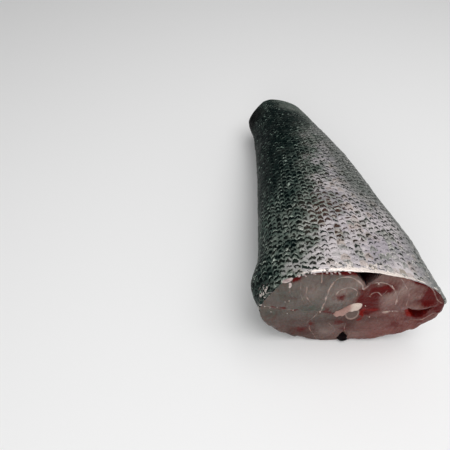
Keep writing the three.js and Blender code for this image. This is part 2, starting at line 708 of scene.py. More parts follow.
def mottle_group() -> bpy.types.NodeTree:
    """Uneven patches: a coarse and a ten times finer cloud of noise, mixed and sharpened to a mask.

    Returns:
        The group, whose size is in patches a metre.
    """
    bench, given, taken = new_group(
        "mottle", {"Place": None, "Size": 60.0, "Level": 0.5, "Softness": 0.1}, {"Mask": "Float"},
    )
    coarse = bench.noise(given["Place"], given["Size"], 2.0)
    fine = bench.noise(given["Place"], bench.product(given["Size"], 10.0), 2.0)
    low = bench.math("SUBTRACT", given["Level"], given["Softness"])
    high = bench.math("ADD", given["Level"], given["Softness"])
    bench.plug(taken["Mask"], bench.ramp(bench.total((coarse, 0.75), (fine, 0.25)), low, high))
    return bench.tree


def wet_group() -> bpy.types.NodeTree:
    """Wet grain: a film that runs thinner and thicker, as a roughness, and a fine bump on a height.

    Returns:
        The group.
    """
    bench, given, taken = new_group(
        "wet grain",
        {"Place": None, "Size": 300.0, "Height": 0.0, "Grain": 0.35, "Depth": 0.0003,
         "Smooth": 0.25, "Rough": 0.5},
        {"Roughness": "Float", "Normal": "Vector"},
    )
    film = bench.noise(given["Place"], given["Size"])
    bench.plug(taken["Roughness"], bench.ramp(film, 0.35, 0.65, given["Smooth"], given["Rough"]))
    grain = bench.noise(given["Place"], bench.product(given["Size"], 5.0), 2.0)
    bump = bench.node("Bump")
    bench.plug(bump.inputs["Distance"], given["Depth"])
    bench.plug(bump.inputs["Height"], bench.math("MULTIPLY_ADD", grain, given["Grain"], given["Height"]))
    bench.plug(taken["Normal"], bump.outputs["Normal"])
    return bench.tree


def scale_group() -> bpy.types.NodeTree:
    """Marks on a lattice of scales, from a chart whose whole numbers are the scales' corners.

    The brow is a dark, slightly arched dash inside each scale: a hump of the place along the scale times
    one of the place across it, both wider where the weight is high. The net is the pale border of each
    scale, broken by noise: its free edge, and its two sides as far as they are asked for. Every other
    column is shifted by half a scale. Chance, Other and Third are random numbers for each scale.

    Returns:
        The group.
    """
    bench, given, taken = new_group(
        "scale marks",
        {"Chart": None, "Place": None, "Weight": 0.0, "Sides": 0.3},
        {"Brow": "Float", "Net": "Float", "Chance": "Float", "Other": "Float", "Third": "Float",
         "Relief": "Float"},
    )
    wander = bench.math("SUBTRACT", bench.noise(given["Place"], 190.0, 2.0), 0.5)
    sway = bench.math("SUBTRACT", bench.noise(given["Place"], 380.0, 2.0), 0.5)
    frizz = bench.math("SUBTRACT", bench.noise(given["Place"], 1000.0, 1.0), 0.5)
    split = bench.node("SeparateXYZ")
    bench.plug(split.inputs[0], given["Chart"])
    column = bench.total((split.outputs[0], 1.0), (wander, 0.7), (sway, 0.45))
    number = bench.math("FLOOR", column)
    shift = bench.math("MODULO", number, 2.0)
    row = bench.total((split.outputs[1], 1.0), (shift, 0.5), (wander, -0.9), (sway, 1.7))
    cell = bench.node("CombineXYZ")
    bench.plug(cell.inputs[0], number)
    bench.plug(cell.inputs[1], bench.math("FLOOR", row))
    dice = bench.node("TexWhiteNoise", noise_dimensions="3D")
    bench.plug(dice.inputs["Vector"], cell.outputs[0])
    chances = bench.node("SeparateColor")
    bench.plug(chances.inputs[0], dice.outputs["Color"])
    chance, other, third = chances.outputs
    for label, value in zip(("Chance", "Other", "Third"), (chance, other, third)):
        bench.plug(taken[label], value)
    across = bench.math("SUBTRACT", bench.math("FRACT", column), 0.5)
    tilt = bench.product(bench.math("SUBTRACT", third, 0.5), across)
    along = bench.total((bench.math("FRACT", row), 1.0), (tilt, 0.5), (frizz, 0.4))
    side = bench.total((bench.math("ABSOLUTE", across), 1.0), (frizz, 0.3))
    arch = bench.total((along, 1.0), (bench.product(across, across), -0.5))
    start = bench.total((0.46, 1.0), (given["Weight"], -0.24), (chance, -0.14))
    stop = bench.total((0.54, 1.0), (given["Weight"], 0.08), (other, 0.16))
    soft = 0.14
    hump = bench.product(bench.ramp(arch, start, bench.math("ADD", start, soft)),
                         bench.ramp(arch, stop, bench.math("ADD", stop, soft), 1.0, 0.0))
    width = bench.total((0.2, 1.0), (given["Weight"], 0.08), (other, 0.2))
    reach = bench.ramp(side, width, bench.math("ADD", width, soft), 1.0, 0.0)
    brow = bench.product(hump, reach)
    bench.plug(taken["Brow"], brow)
    edge = bench.product(bench.ramp(arch, 0.74, 0.88), bench.ramp(arch, 0.98, 1.1, 1.0, 0.0))
    sides = bench.product(bench.ramp(side, 0.36, 0.48), given["Sides"])
    border = bench.math("MAXIMUM", edge, sides)
    broken = bench.ramp(bench.noise(given["Place"], 240.0, 3.0), 0.36, 0.6)
    bench.plug(taken["Net"], bench.product(border, broken))
    bench.plug(taken["Relief"], bench.total((brow, -0.5), (border, 0.3), (frizz, 0.35)))
    return bench.tree


class Groups:
    """The shared node groups, each built once, and short ways to place them."""

    def __init__(self) -> None:
        """Build them all."""
        self.mottle = mottle_group()
        self.wet = wet_group()
        self.scales = scale_group()

    def patches(self, bench: Bench, place: Socket, size: float, soft: float, level: float = 0.5) -> Socket:
        """Mask of uneven patches, of a size in patches a metre."""
        return bench.group(self.mottle, Place=place, Size=size, Level=level, Softness=soft).outputs[0]

    def coat(self, bench: Bench, shader: bpy.types.Node, shine: float, **inputs: object) -> None:
        """Make a shader's surface wet.

        Args:
            bench: The material's bench.
            shader: Its Principled shader.
            shine: Its specular level.
            inputs: Inputs of the wet grain.
        """
        wet = bench.group(self.wet, **inputs)
        bench.plug(shader.inputs["Roughness"], wet.outputs["Roughness"])
        bench.plug(shader.inputs["Normal"], wet.outputs["Normal"])
        shader.inputs["Specular IOR Level"].default_value = shine


def new_material(name: str) -> tuple[bpy.types.Material, Bench, bpy.types.Node, Socket]:
    """Start a material.

    Args:
        name: Its name.

    Returns:
        The material, a bench on its tree, its Principled shader and the object's own coordinates.
    """
    material = bpy.data.materials.new(name)
    material.use_nodes = True
    bench = Bench(material.node_tree)
    shader = material.node_tree.nodes["Principled BSDF"]
    place = bench.node("TexCoord").outputs["Object"]
    return material, bench, shader, place


@dataclass(frozen=True)
class SkinFinish:
    """Scaly hide: silvery lilac with dark brows on the flank, blackish green along the back."""

    silver: Colour = srgb(216, 208, 210)
    lilac: Colour = srgb(180, 172, 180)
    green_grey: Colour = srgb(134, 139, 130)
    tan: Colour = srgb(184, 164, 148)
    glint_cream: Colour = srgb(236, 230, 224)
    middle: Colour = srgb(118, 127, 118)
    back: Colour = srgb(104, 124, 114)
    back_deep: Colour = srgb(6, 28, 28)
    brow: Colour = srgb(36, 45, 40)
    brown: Colour = srgb(72, 52, 46)
    ink: Colour = srgb(2, 12, 12)
    net_pale: Colour = srgb(212, 206, 202)
    net_dark: Colour = srgb(192, 204, 190)
    net_far: Colour = srgb(60, 104, 96)
    # Grey of the belly's keel, with painted sheen and shade where the belly turns away at a grazing angle
    keel_tone_and_sheen: Colour = srgb(112, 116, 112)
    bare: Colour = srgb(250, 238, 230)
    # Colour of the darkening towards the tail: partly the hide's darker tone, partly painted shade
    dusk: Colour = srgb(2, 18, 18)
    corner: Colour = srgb(2, 5, 5)
    shine: float = 0.006
    silvery: float = 0.25

    def build(self, groups: Groups) -> bpy.types.Material:
        """Wire the finish up.

        Args:
            groups: The shared node groups.

        Returns:
            The material.
        """
        material, bench, shader, place = new_material("scaly skin")
        chart = bench.node("UVMap", uv_map="chart").outputs["UV"]
        patches = groups.patches(bench, place, 48.0, 0.1)
        clouds = groups.patches(bench, place, 19.0, 0.13)
        clumps = groups.patches(bench, place, 95.0, 0.1)
        smooth = bench.attribute("smooth")
        uneven = bench.total((bench.attribute("dark"), 1.0), (clumps, 0.24), (patches, 0.2), (0.22, -1.0))
        heavy = bench.attribute("heavy")
        weight = bench.math("ADD", uneven, bench.product(heavy, 0.6), clamp=True)
        marks = bench.group(
            groups.scales, Chart=chart, Place=place, Weight=weight, Sides=bench.attribute("streaky"),
        ).outputs
        chance, other, third = marks["Chance"], marks["Other"], marks["Third"]

        dusk = bench.total((uneven, 1.0), (chance, 0.16), (0.08, -1.0))
        pale = bench.mix(patches, self.silver, self.lilac)
        pale = bench.mix(bench.product(bench.ramp(other, 0.5, 0.9), clouds, 0.8), pale, self.green_grey)
        pale = bench.mix(bench.product(bench.ramp(third, 0.8, 0.95), 0.5), pale, self.tan)
        # The belly's grey keel tone with painted grazing sheen and shade, also laid over the belly's middle
        # and the far end
        pale = bench.mix(bench.attribute("keel_tone_and_sheen"), pale, self.keel_tone_and_sheen)
        night = bench.mix(bench.total((clouds, 0.4), (chance, 0.3), (clumps, 0.3)), self.back, self.back_deep)
        ground = bench.mix(bench.ramp(dusk, 0.0, 0.6), pale, self.middle)
        ground = bench.mix(bench.ramp(dusk, 0.4, 1.05), ground, night)
        # Darker towards the tail: partly the hide's darker tone, partly painted shade
        shade = bench.attribute("shade")
        ground = bench.mix(shade, ground, self.dusk)

        plain = bench.ramp(smooth, 0.0, 1.0, 1.0, 0.15)
        rare = bench.total((0.1, 1.0), (shade, 0.3))
        least = bench.total((0.2, 1.0), (shade, -0.2))
        net = bench.product(marks["Net"], plain, bench.ramp(other, rare, 0.9, least, 1.0))
        net_tone = bench.mix(dusk, self.net_pale, self.net_dark)
        net_tone = bench.mix(bench.product(shade, 0.6), net_tone, self.net_far)
        ground = bench.mix(net, ground, net_tone)

        drawn = bench.total((chance, 0.7), (heavy, 1.0), (clumps, 0.4), (uneven, 0.4))
        strength = bench.product(bench.ramp(drawn, 0.2, 0.95), plain)
        brownish = bench.product(bench.ramp(third, 0.0, 0.5), bench.attribute("warm"))
        ink = bench.mix(bench.ramp(dusk, 0.3, 0.9), bench.mix(brownish, self.brow, self.brown), self.ink)
        ground = bench.mix(bench.product(marks["Brow"], strength), ground, ink)

        # Painted glints: small cream specks that stand for wet highlights on the flank near the cut
        speck = bench.ramp(bench.noise(place, 520.0, 2.0), 0.52, 0.6)
        glint = bench.product(bench.ramp(other, 0.7, 0.9), bench.attribute("glint"), speck)
        ground = bench.mix(bench.product(glint, bench.ramp(patches, 0.3, 0.7), 0.6), ground, self.glint_cream)
        # Painted highlight: light streaks in the keel grey along the back edge, where the fin's base lies
        ground = bench.mix(bench.product(bench.attribute("fin_base_highlight"), 0.6), ground, self.keel_tone_and_sheen)
        fray = bench.ramp(bench.noise(place, 420.0, 4.0, 0.65), 0.44, 0.6, 0.0, 0.7)
        bare = bench.math("ADD", bench.attribute("bare"), bench.product(bench.attribute("frayed"), fray))
        ground = bench.mix(bench.ramp(bare, 0.25, 0.8), ground, self.bare)
        bench.plug(shader.inputs["Base Color"], bench.mix(bench.attribute("corner"), ground, self.corner))

        bench.plug(shader.inputs["Metallic"], bench.ramp(dusk, 0.05, 0.5, self.silvery, 0.0))
        groups.coat(bench, shader, self.shine, Place=place, Size=170.0, Height=marks["Relief"], Depth=0.0004,
                    Smooth=0.2, Rough=0.4)
        return material


@dataclass(frozen=True)
class FleshFinish:
    """Raw flesh: greyish and slightly see-through, with pale sheets, fine fibres and blood."""

    grey: Colour = srgb(105, 97, 92)
    green: Colour = srgb(78, 82, 75)
    rosy: Colour = srgb(128, 84, 79)
    # Dusky flesh tone, also used as painted shade low on the cut and along its underside rim
    dusky_and_shade: Colour = srgb(64, 42, 38)
    core: Colour = srgb(160, 142, 134)
    sheet: Colour = srgb(176, 155, 146)
    blood: Colour = srgb(80, 14, 13)
    bright: Colour = srgb(112, 16, 10)
    # Near-black red inside the wedge and the cavity: their dark red flesh with painted shade
    hollow: Colour = srgb(18, 3, 6)
    stretch: tuple[float, float, float] = (1.0, 1.0, 0.28)
    shine: float = 0.03
    depth_seen: float = 0.3
    scatter: float = 0.0016

    def build(self, groups: Groups) -> bpy.types.Material:
        """Wire the finish up.

        Args:
            groups: The shared node groups.

        Returns:
            The material.
        """
        material, bench, shader, place = new_material("raw flesh")
        cloud = groups.patches(bench, place, 75.0, 0.16)
        fibre = bench.noise(place, 1100.0, 3.0, 0.7)
        drawn = bench.node("Mapping")
        bench.plug(drawn.inputs["Vector"], place)
        bench.plug(drawn.inputs["Scale"], self.stretch)
        streak = bench.noise(drawn.outputs[0], 620.0, 3.0, 0.6)
        grey = bench.mix(bench.total((bench.attribute("green"), 1.0), (cloud, 0.32)), self.grey, self.green)
        ground = bench.mix(bench.total((bench.attribute("rosy"), 1.0), (cloud, -0.2)), grey, self.rosy)
        ground = bench.mix(bench.attribute("core"), ground, self.core)
        # Dusky patches, partly painted shade low on the cut
        ground = bench.mix(bench.attribute("dusky_and_shade"), ground, self.dusky_and_shade)
        shadow = bench.total((bench.ramp(fibre, 0.35, 0.65), 0.12), (bench.ramp(streak, 0.38, 0.66), 0.2))
        ground = bench.mix(shadow, ground, self.dusky_and_shade)
        stain = bench.total((bench.attribute("blood"), 0.85), (streak, 0.6), (cloud, 0.3), (0.38, -1.0))
        ground = bench.mix(bench.ramp(stain, 0.0, 0.9), ground, self.blood)
        splash = bench.total((bench.attribute("bright"), 1.0), (fibre, 0.6), (0.3, -1.0))
        ground = bench.mix(bench.ramp(splash, 0.2, 0.75), ground, self.bright)
        sheet = bench.attribute("sheet")
        broken = bench.ramp(bench.noise(place, 350.0, 2.0), 0.3, 0.6, 0.35, 1.0)
        ground = bench.mix(bench.product(bench.ramp(sheet, -0.1, 0.75), broken), ground, self.sheet)
        # Painted shade inside the wedge and the cavity, over their dark red flesh
        ground = bench.mix(bench.attribute("hollow"), ground, self.hollow)
        bench.plug(shader.inputs["Base Color"], ground)

        height = bench.total((bench.ramp(sheet, -0.5, 0.8), 0.7), (fibre, 0.3), (streak, 0.35))
        groups.coat(bench, shader, self.shine, Place=place, Size=150.0, Height=height, Depth=0.0003,
                    Smooth=0.2, Rough=0.42)
        shader.inputs["Subsurface Weight"].default_value = self.depth_seen
        shader.inputs["Subsurface Scale"].default_value = self.scatter
        return material


@dataclass(frozen=True)
class BoneFinish:
    """Moist bone: pinkish white, with a bloody grey cup inside the vertebra's pale ring."""

    white: Colour = srgb(206, 190, 178)
    pink: Colour = srgb(160, 126, 117)
    cup: Colour = srgb(98, 82, 76)
    ring: Colour = srgb(128, 104, 96)
    shine: float = 0.12

    def build(self, groups: Groups) -> bpy.types.Material:
        """Wire the finish up.

        Args:
            groups: The shared node groups.

        Returns:
            The material.
        """
        material, bench, shader, place = new_material("moist bone")
        cloud = groups.patches(bench, place, 130.0, 0.12, level=0.52)
        pink = bench.total((bench.attribute("pink"), 1.0), (cloud, 0.35))
        ground = bench.mix(bench.math("MINIMUM", pink, 1.0), self.white, self.pink)
        ground = bench.mix(bench.attribute("ring"), ground, self.ring)
        ground = bench.mix(bench.attribute("cup"), ground, self.cup)
        bench.plug(shader.inputs["Base Color"], ground)
        groups.coat(bench, shader, self.shine, Place=place, Size=300.0, Height=cloud, Depth=0.0002,
                    Smooth=0.15, Rough=0.35)
        return material


class Scrap(Enum):
    """The kinds of torn scrap: a name, the colours of its thick and its thin parts, and its shine."""

    SHRED = ("torn skin", srgb(208, 192, 186), srgb(146, 126, 126), 0.2)
    # Fat: its near-white also stands for painted wet glints on the meat
    FLECK = ("fat_and_glints", srgb(226, 214, 204), srgb(190, 168, 158), 0.3)
    FLAP = ("dark membrane", srgb(4, 3, 5), srgb(20, 8, 9), 0.02)


@dataclass(frozen=True)
class ScrapFinish:
    """Moist torn tissue in two tones."""

    kind: Scrap

    def build(self, groups: Groups) -> bpy.types.Material:
        """Wire the finish up.

        Args:
            groups: The shared node groups.

        Returns:
            The material.
        """
        name, thick, thin, shine = self.kind.value
        material, bench, shader, place = new_material(name)
        cloud = groups.patches(bench, place, 320.0, 0.15)
        bench.plug(shader.inputs["Base Color"], bench.mix(cloud, thick, thin))
        groups.coat(bench, shader, shine, Place=place, Size=400.0, Height=cloud, Depth=0.0002,
                    Smooth=0.2, Rough=0.4)
        return material


# ---------------------------------------------------------------------------------------------------
# Skin
# ---------------------------------------------------------------------------------------------------


@dataclass
class Skin:
    """The scaly hide, a closed shell round the flesh from cut to cut."""

    columns: int = 68
    points_a_column: int = 6
    pitch: float = 4.2
    spaced_sections: int = 24
    levels: tuple[float, ...] = (0.0, 0.45, 0.9)
    scallop: float = 0.45
    drift: float = 0.35
    drift_rows: float = 9.0
    thickness: float = 1.5
    wall_shares: tuple[float, ...] = (0.995, 0.8, 0.6, 0.4, 0.2, 0.05, 0.012)
    tail_lip: tuple[tuple[float, float], ...] = ((0.3, 0.35), (0.8, 0.5), (1.3, 0.3))
    lift: float = 0.36
    furrow: float = 0.14
    scale_heights: tuple[float, float] = (0.4, 1.3)
    seed: int = 5
    recess: float = 2.8
    recess_reach: float = 12.0
    corner_angle: float = 2.68
    corner_spread: float = 0.3
    corner_width: float = 2.6
    lip_insets: tuple[float, ...] = (0.95, 0.75, 0.4, 0.1)
    lip_bulges: tuple[float, ...] = (0.2, 0.6, 0.7, 0.45)
    lip_paleness: tuple[float, ...] = (0.7, 0.36, 0.1, 0.0)
    lip_creaminess: tuple[float, ...] = (1.0, 1.0, 0.9, 0.7)
    tail_lip_paleness: float = 0.55
    speckled_to: float = 0.4
    creamy_across: Ends = (0.35, 0.43, 0.62, 0.78)
    pale_across: Ends = (0.13, 0.22, 0.93, 1.0)
    frayed_across: Ends = (0.19, 0.36, 0.5, 0.85)
    frayed_along: tuple[float, float] = (22.0, 1.0)
    bare_across: tuple[float, ...] = (0.2, 0.36, 0.42, 0.6, 0.7, 1.0)
    bare_widths: tuple[float, ...] = (0.1, 0.3, 1.8, 1.7, 0.4, 0.1)
    bare_edge: float = 0.9
    torn_corner: tuple[Spot, ...] = (Spot(62.0, 3.0, 8.0, 5.0, 1.4), Spot(47.0, 0.0, 5.0, 3.0, 1.4))
    torn_across: tuple[float, float] = (0.14, 0.05)
    worn_along: Ends = (8.0, 16.0, 50.0, 62.0)
    worn_spread: float = 0.15
    # Where the painted highlight along the back edge, by the fin's base, lies
    fin_base_highlight_shares: Ends = (0.1, 0.18, 0.6, 0.8)
    fin_base_highlight_spread: float = 0.16
    far_end: Zone = Zone(1.0, across=(0.3, 0.6), share=(0.82, 0.93))
    black_corner: Zone = Zone(1.0, across=(0.24, 0.1), share=(0.86, 0.93))
    fin_stump: Zone = Zone(0.7, across=(0.1, 0.02), share=(0.1, 0.03))
    # Where the painted glints lie
    glints: Zone = Zone(1.0, across=(0.2, 0.45), share=(0.35, 0.1))
    heavy_zones: tuple[Zone, ...] = (
        Zone(0.3),
        Zone(0.3, across=(0.5, 0.3)),
        Zone(0.3, share=(0.03, 0.2)),
        Zone(-0.35, across=(0.5, 0.7), share=(0.2, 0.06)),
        Zone(0.25, across=(0.55, 0.75), share=(0.12, 0.3)),
    )
    heavy_patch: Spot = Spot(0.64, 0.21, 0.16, 0.09, 0.5)
    warm_patch: Spot = Spot(0.41, 0.2, 0.13, 0.11)
    streaky_patch: Spot = Spot(0.4, 0.42, 0.12, 0.16, 1.3)
    silver_stripe: tuple[float, float, float] = (0.36, 0.5, 0.055)
    stripe_shares: tuple[float, float] = (0.55, 0.35)
    # Where the keel grey with painted grazing sheen and shade lies: the belly edge, the belly's middle and
    # towards the tail
    keel_tone_and_sheen_edge: Zone = Zone(0.9, across=(0.74, 0.9))
    keel_tone_and_sheen_zones: tuple[Zone, ...] = (
        Zone(0.98, across=(0.5, 0.7), share=(0.18, 0.36)),
        Zone(0.8, share=(0.5, 0.75)),
    )
    keel_tone_and_sheen_rise: tuple[float, float] = (-0.6, 0.0)
    dark_edge: tuple[float, float] = (0.42, -0.2)
    dark_border: tuple[float, ...] = (0.07, 0.17, 0.27, 0.34, 0.55, 1.1)
    # How far the hide darkens towards the tail, station by station: partly its darker tone, partly painted
    # shade
    dusk: tuple[float, ...] = (0.0, 0.25, 0.75, 0.96, 0.92, 0.5)
    grain: Grain = field(default_factory=lambda: Grain(11))

    @property
    def around(self) -> int:
        """How many points go round."""
        return self.columns * self.points_a_column

    def lattice(self) -> tuple[Array, Array, Array]:
        """The scales' own coordinates at every point of the outer face.

        Returns:
            The column and the row as grids of numbers, and each row's height within its scale.
        """
        rows = int(round(BODY.length / self.pitch))
        row = np.append((np.arange(rows)[:, None] + np.array(self.levels)).ravel(), rows)
        rise = np.append(np.tile(np.array(self.levels) / self.levels[-1], rows), 0.0)
        column = np.arange(self.around) / self.points_a_column
        return *np.meshgrid(column, row), rise

    def angles(self, row: Array) -> Array:
        """Angle of every point: evenly spaced round the section at a few shares, blended between.

        Args:
            row: Each row's number.

        Returns:
            The angles, row by row.
        """
        fixed = np.linspace(0.0, 1.0, self.spaced_sections)
        turned = np.unwrap(np.stack([BODY.even_angles(at, self.around) for at in fixed]), axis=1)
        place = row / row[-1] * (len(fixed) - 1)
        first = np.minimum(place.astype(int), len(fixed) - 2)
        part = (place - first)[:, None]
        angle = turned[first] * (1 - part) + turned[first + 1] * part
        return (angle + math.pi) % (2 * math.pi) - math.pi

    def set_back(self, y: Array, angle: Array) -> Array:
        """Draw the hide back from the cut at the belly's tip and underneath, fading out along the body."""
        below = np.maximum(smoothstep(0.05, -0.25, np.sin(angle)), bell(angle / BODY.tip_spread))
        return y + self.recess * below * smoothstep(self.recess_reach, 0.0, y)

    def outer(self) -> tuple[Array, Array, Array, Array]:
        """The outer face: rows that follow the scales' rounded free edges, each scale rising to its edge.

        A row's place along the body is pitch times (row number less scallop times the square of the place
        across the column, plus a drift), and the height is lift times the place along the scale.

        Returns:
            The points, the chart, the share of the length and the angle.
        """
        column, row, rise = self.lattice()
        last = row.max()
        inside = np.minimum(smoothstep(0.0, 2.0, row), smoothstep(0.0, 2.0, last - row))
        across = (column % 1.0) - 0.5
        turn = column / self.columns * 2 * math.pi
        girth = self.columns / (4 * math.pi)
        roll = np.stack([girth * np.cos(turn), girth * np.sin(turn), row / self.drift_rows], axis=-1)
        wander = self.grain.at(roll, 1.0)
        bend = self.drift * wander - self.scallop * (2 * across) ** 2
        share = np.clip((row + bend * inside) / last, 0.0, 1.0)
        angle = self.angles(row[:, 0])
        x, z = BODY.section(angle, share)
        points = np.stack([x, share * BODY.length, z], axis=-1)
        normal = self.normals(points)
        draw = np.random.default_rng(self.seed)
        tall = draw.uniform(*self.scale_heights, (int(last) + 1, self.columns))
        own = tall[row.astype(int), column.astype(int)]
        own = np.where(np.isclose(across, -0.5), (own + np.roll(own, 1, axis=1)) / 2, own)
        height = self.lift * own * rise[:, None] - self.furrow * (2 * across) ** 4
        uneven = 0.5 * self.grain.at(points, 26.0) + 0.25 * self.grain.at(points + 50.0, 9.0)
        height = height * inside + uneven
        points = points + normal * height[..., None]
        points[..., 1] = self.set_back(np.clip(points[..., 1], 0.0, BODY.length), angle)
        points[..., 2] = np.maximum(points[..., 2], 0.0)
        return points, np.stack([column, row], axis=-1), share, angle

    @staticmethod
    def normals(points: Array) -> Array:
        """Outward unit normals of a grid whose columns close: the row step crossed with the column step.

        Args:
            points: The grid.

        Returns:
            A normal for each point.
        """
        down = np.gradient(points, axis=0)
        round_step = np.roll(points, -1, axis=1) - np.roll(points, 1, axis=1)
        cross = np.cross(down, round_step)
        return cross / np.linalg.norm(cross, axis=-1, keepdims=True)

    def ring(self, angle: Array, share: float, inset: Depth, ahead: Depth) -> Array:
        """A ring of points inside the skin's outer face, kept off the floor.

        Args:
            angle: Angle of each point.
            share: Share of the length.
            inset: How far inside the face.
            ahead: How far it is moved towards the tail.

        Returns:
            The ring, as one row of a grid.
        """
        x, z = BODY.section(angle, np.full_like(angle, share), inset)
        z = np.maximum(z, np.minimum(inset, self.thickness))
        y = self.set_back(share * BODY.length + 0 * x, angle) + ahead
        return np.stack([x, y, z], axis=-1)[None]

    def broad_lip(self, angle: Array) -> tuple[list[Array], Array]:
        """The skin's edge at the broad cut, from its inner wall outwards: rounded, ragged and a bit proud.

        Where the dark back turns over to the flank the edge is torn wider.

        Args:
            angle: Angle of each point of the ring.

        Returns:
            The rings, and each ring's inset.
        """
        round_place = np.stack([np.cos(angle), np.sin(angle), 0 * angle], axis=-1) * 60.0
        ragged = self.grain.at(round_place, 2.5)
        torn = np.maximum(self.grain.at(round_place + 30.0, 3.2), 0.0)
        wide = self.corner_width * bell((angle - self.corner_angle) / self.corner_spread)
        insets = np.array(self.lip_insets)
        rings = []
        for inset, bulge in zip(insets, self.lip_bulges):
            inwards = inset + (wide + 0.5 * torn) * (inset / insets[0]) ** 1.5
            rings.append(self.ring(angle, 0.0, inwards, -bulge - 0.3 * ragged))
        return rings, insets

    def build(self, finish: bpy.types.Material) -> bpy.types.Object:
        """Make the hide: outer face, tail lip, inner wall and the lip at the broad cut, closed in a ring.

        Args:
            finish: Its material.

        Returns:
            The piece.
        """
        outer, chart, share, angle = self.outer()
        start, end = angle[0], angle[-1]
        tail_lip = [self.ring(end, 1.0, inset, bulge) for inset, bulge in self.tail_lip]
        wall = [self.ring(start if at < 0.5 else end, at, self.thickness, 0.0) for at in self.wall_shares]
        lip, insets = self.broad_lip(start)
        inner = np.concatenate(tail_lip + wall + lip)
        across = BODY.across(outer[..., 0], share)
        values = self.marks(outer, share, across, angle)
        for label, value in values.items():
            extra = np.repeat(value[:1], len(inner), axis=0)
            extra[: len(inner) - len(lip)] = value[-1:]
            if label == "bare":
                extra[-len(lip):] = self.lip_bareness(outer[0], across[0])
                extra[: len(tail_lip)] = self.tail_lip_paleness
            values[label] = np.concatenate([value, extra])
        rolled = np.repeat(chart[-1:], len(inner), axis=0)
        rolled[..., 1] = chart[-1, 0, 1] + 0.01
        rolled[-len(lip):, :, 1] = -insets[:, None] / self.pitch
        points = np.concatenate([outer, inner])
        piece = make_piece("skin_hide", Grid(BODY.trim(points), closed=True, values=values))
        add_chart(piece.data, np.concatenate([chart, rolled]), float(self.columns))
        return settle(piece, "scaly_skin", finish, "skin")

    def lip_bareness(self, edge: Array, across: Array) -> Array:
        """How bare each ring of the broad cut's lip is: speckled by the back, and creamy at the top.

        Args:
            edge: The outer face's first row.
            across: Its share of the depth, from the back.

        Returns:
            A mask for each ring.
        """
        thin, full = (np.array(values)[:, None] for values in (self.lip_paleness, self.lip_creaminess))
        speckled = np.clip(0.6 + 1.3 * self.grain.at(edge + 20.0, 2.2), 0.0, 1.0)
        speckled = np.where(across > self.speckled_to, 1.0, speckled)
        creamy = plateau(across, self.creamy_across)
        return plateau(across, self.pale_across) * (thin + (full - thin) * creamy) * speckled

    def marks(self, points: Array, share: Array, across: Array, angle: Array) -> dict[str, Array]:
        """Regions of the hide.

        Args:
            points: The outer face.
            share: Share of the length at each point.
            across: Share of the depth, from the back.
            angle: Angle round the section.

        Returns:
            Masks, of about 0 to 1: the dark back, the darkening towards the tail (partly the hide's darker
                tone,
            partly painted shade), the tail cut's black corner, heavy marks, pale streaks, brown marks, the
            smooth far end, the belly's grey keel tone with painted grazing sheen and shade, painted glints,
            the bare cut edge, its frayed border, and the painted highlight along the back edge by the fin's
            base.
        """
        along = share * BODY.length
        flat = np.stack([across, share], axis=-1)
        upright = np.stack([points[..., 2], along], axis=-1)
        from_back = math.pi - np.abs(angle)
        wobble = 0.06 * self.grain.at(points, 14.0) + 0.03 * self.grain.at(points + 9.0, 4.0)
        streaks = 0.5 + 0.5 * self.grain.at(points * np.array([1.0, 0.12, 1.0]), 1.6)

        smooth = self.far_end.cover(across, share)
        dark = smoothstep(*self.dark_edge, across - Body.along(self.dark_border, share) + wobble)
        dark = dark * (1.0 - 0.5 * smooth)
        # Darker towards the tail: partly the hide's darker tone, partly painted shade
        shade = Body.along(self.dusk, share) * (0.08 + 0.92 * dark)

        start, slope, width = self.silver_stripe
        stripe = bell((across - start - slope * share) / width) * smoothstep(*self.stripe_shares, share)
        warm = self.warm_patch.cover(flat)
        heavy = np.sum([zone.cover(across, share) for zone in self.heavy_zones], axis=0)
        heavy = heavy - 0.35 * stripe + self.heavy_patch.cover(flat) + 0.3 * warm

        # The belly's grey keel tone, with painted sheen and shade along the grazing belly edge
        keel_tone_and_sheen = self.keel_tone_and_sheen_edge.cover(across, share) * smoothstep(*self.keel_tone_and_sheen_rise, np.sin(angle))
        keel_tone_and_sheen = np.max([keel_tone_and_sheen, *[zone.cover(across, share) for zone in self.keel_tone_and_sheen_zones]], axis=0)

        band = np.interp(across, self.bare_across, self.bare_widths)
        ragged = along - band + 1.1 * self.grain.at(points, 2.6)
        bare = smoothstep(self.bare_edge, -self.bare_edge, ragged) * plateau(across, self.pale_across)
        frayed = smoothstep(*self.frayed_along, along + 8.0 * self.grain.at(points, 7.0))
        flecks = np.sum([spot.cover(upright) for spot in self.torn_corner], axis=0)
        flecks = flecks * smoothstep(*self.torn_across, across)
        worn = bell(from_back / self.worn_spread - 1.0) * smoothstep(0.55, 0.75, streaks)
        flecks = flecks + 0.75 * worn * plateau(along, self.worn_along)
        return {
            "dark": dark,
            "shade": np.maximum(shade, self.fin_stump.cover(across, share)),
            "corner": self.black_corner.cover(across, share),
            "heavy": np.clip(heavy, 0.0, 1.0),
            "streaky": 0.3 + self.streaky_patch.cover(flat),
            "warm": 0.15 + warm,
            "smooth": smooth,
            "keel_tone_and_sheen": keel_tone_and_sheen,
            "glint": self.glints.cover(across, share),
            "bare": bare,
            "frayed": np.maximum(frayed * plateau(across, self.frayed_across), flecks),
            # painted highlight along the back edge by the fin's base
            "fin_base_highlight": bell(from_back / self.fin_base_highlight_spread) * streaks * plateau(share, self.fin_base_highlight_shares),
        }


# ---------------------------------------------------------------------------------------------------
# Flesh
# ---------------------------------------------------------------------------------------------------

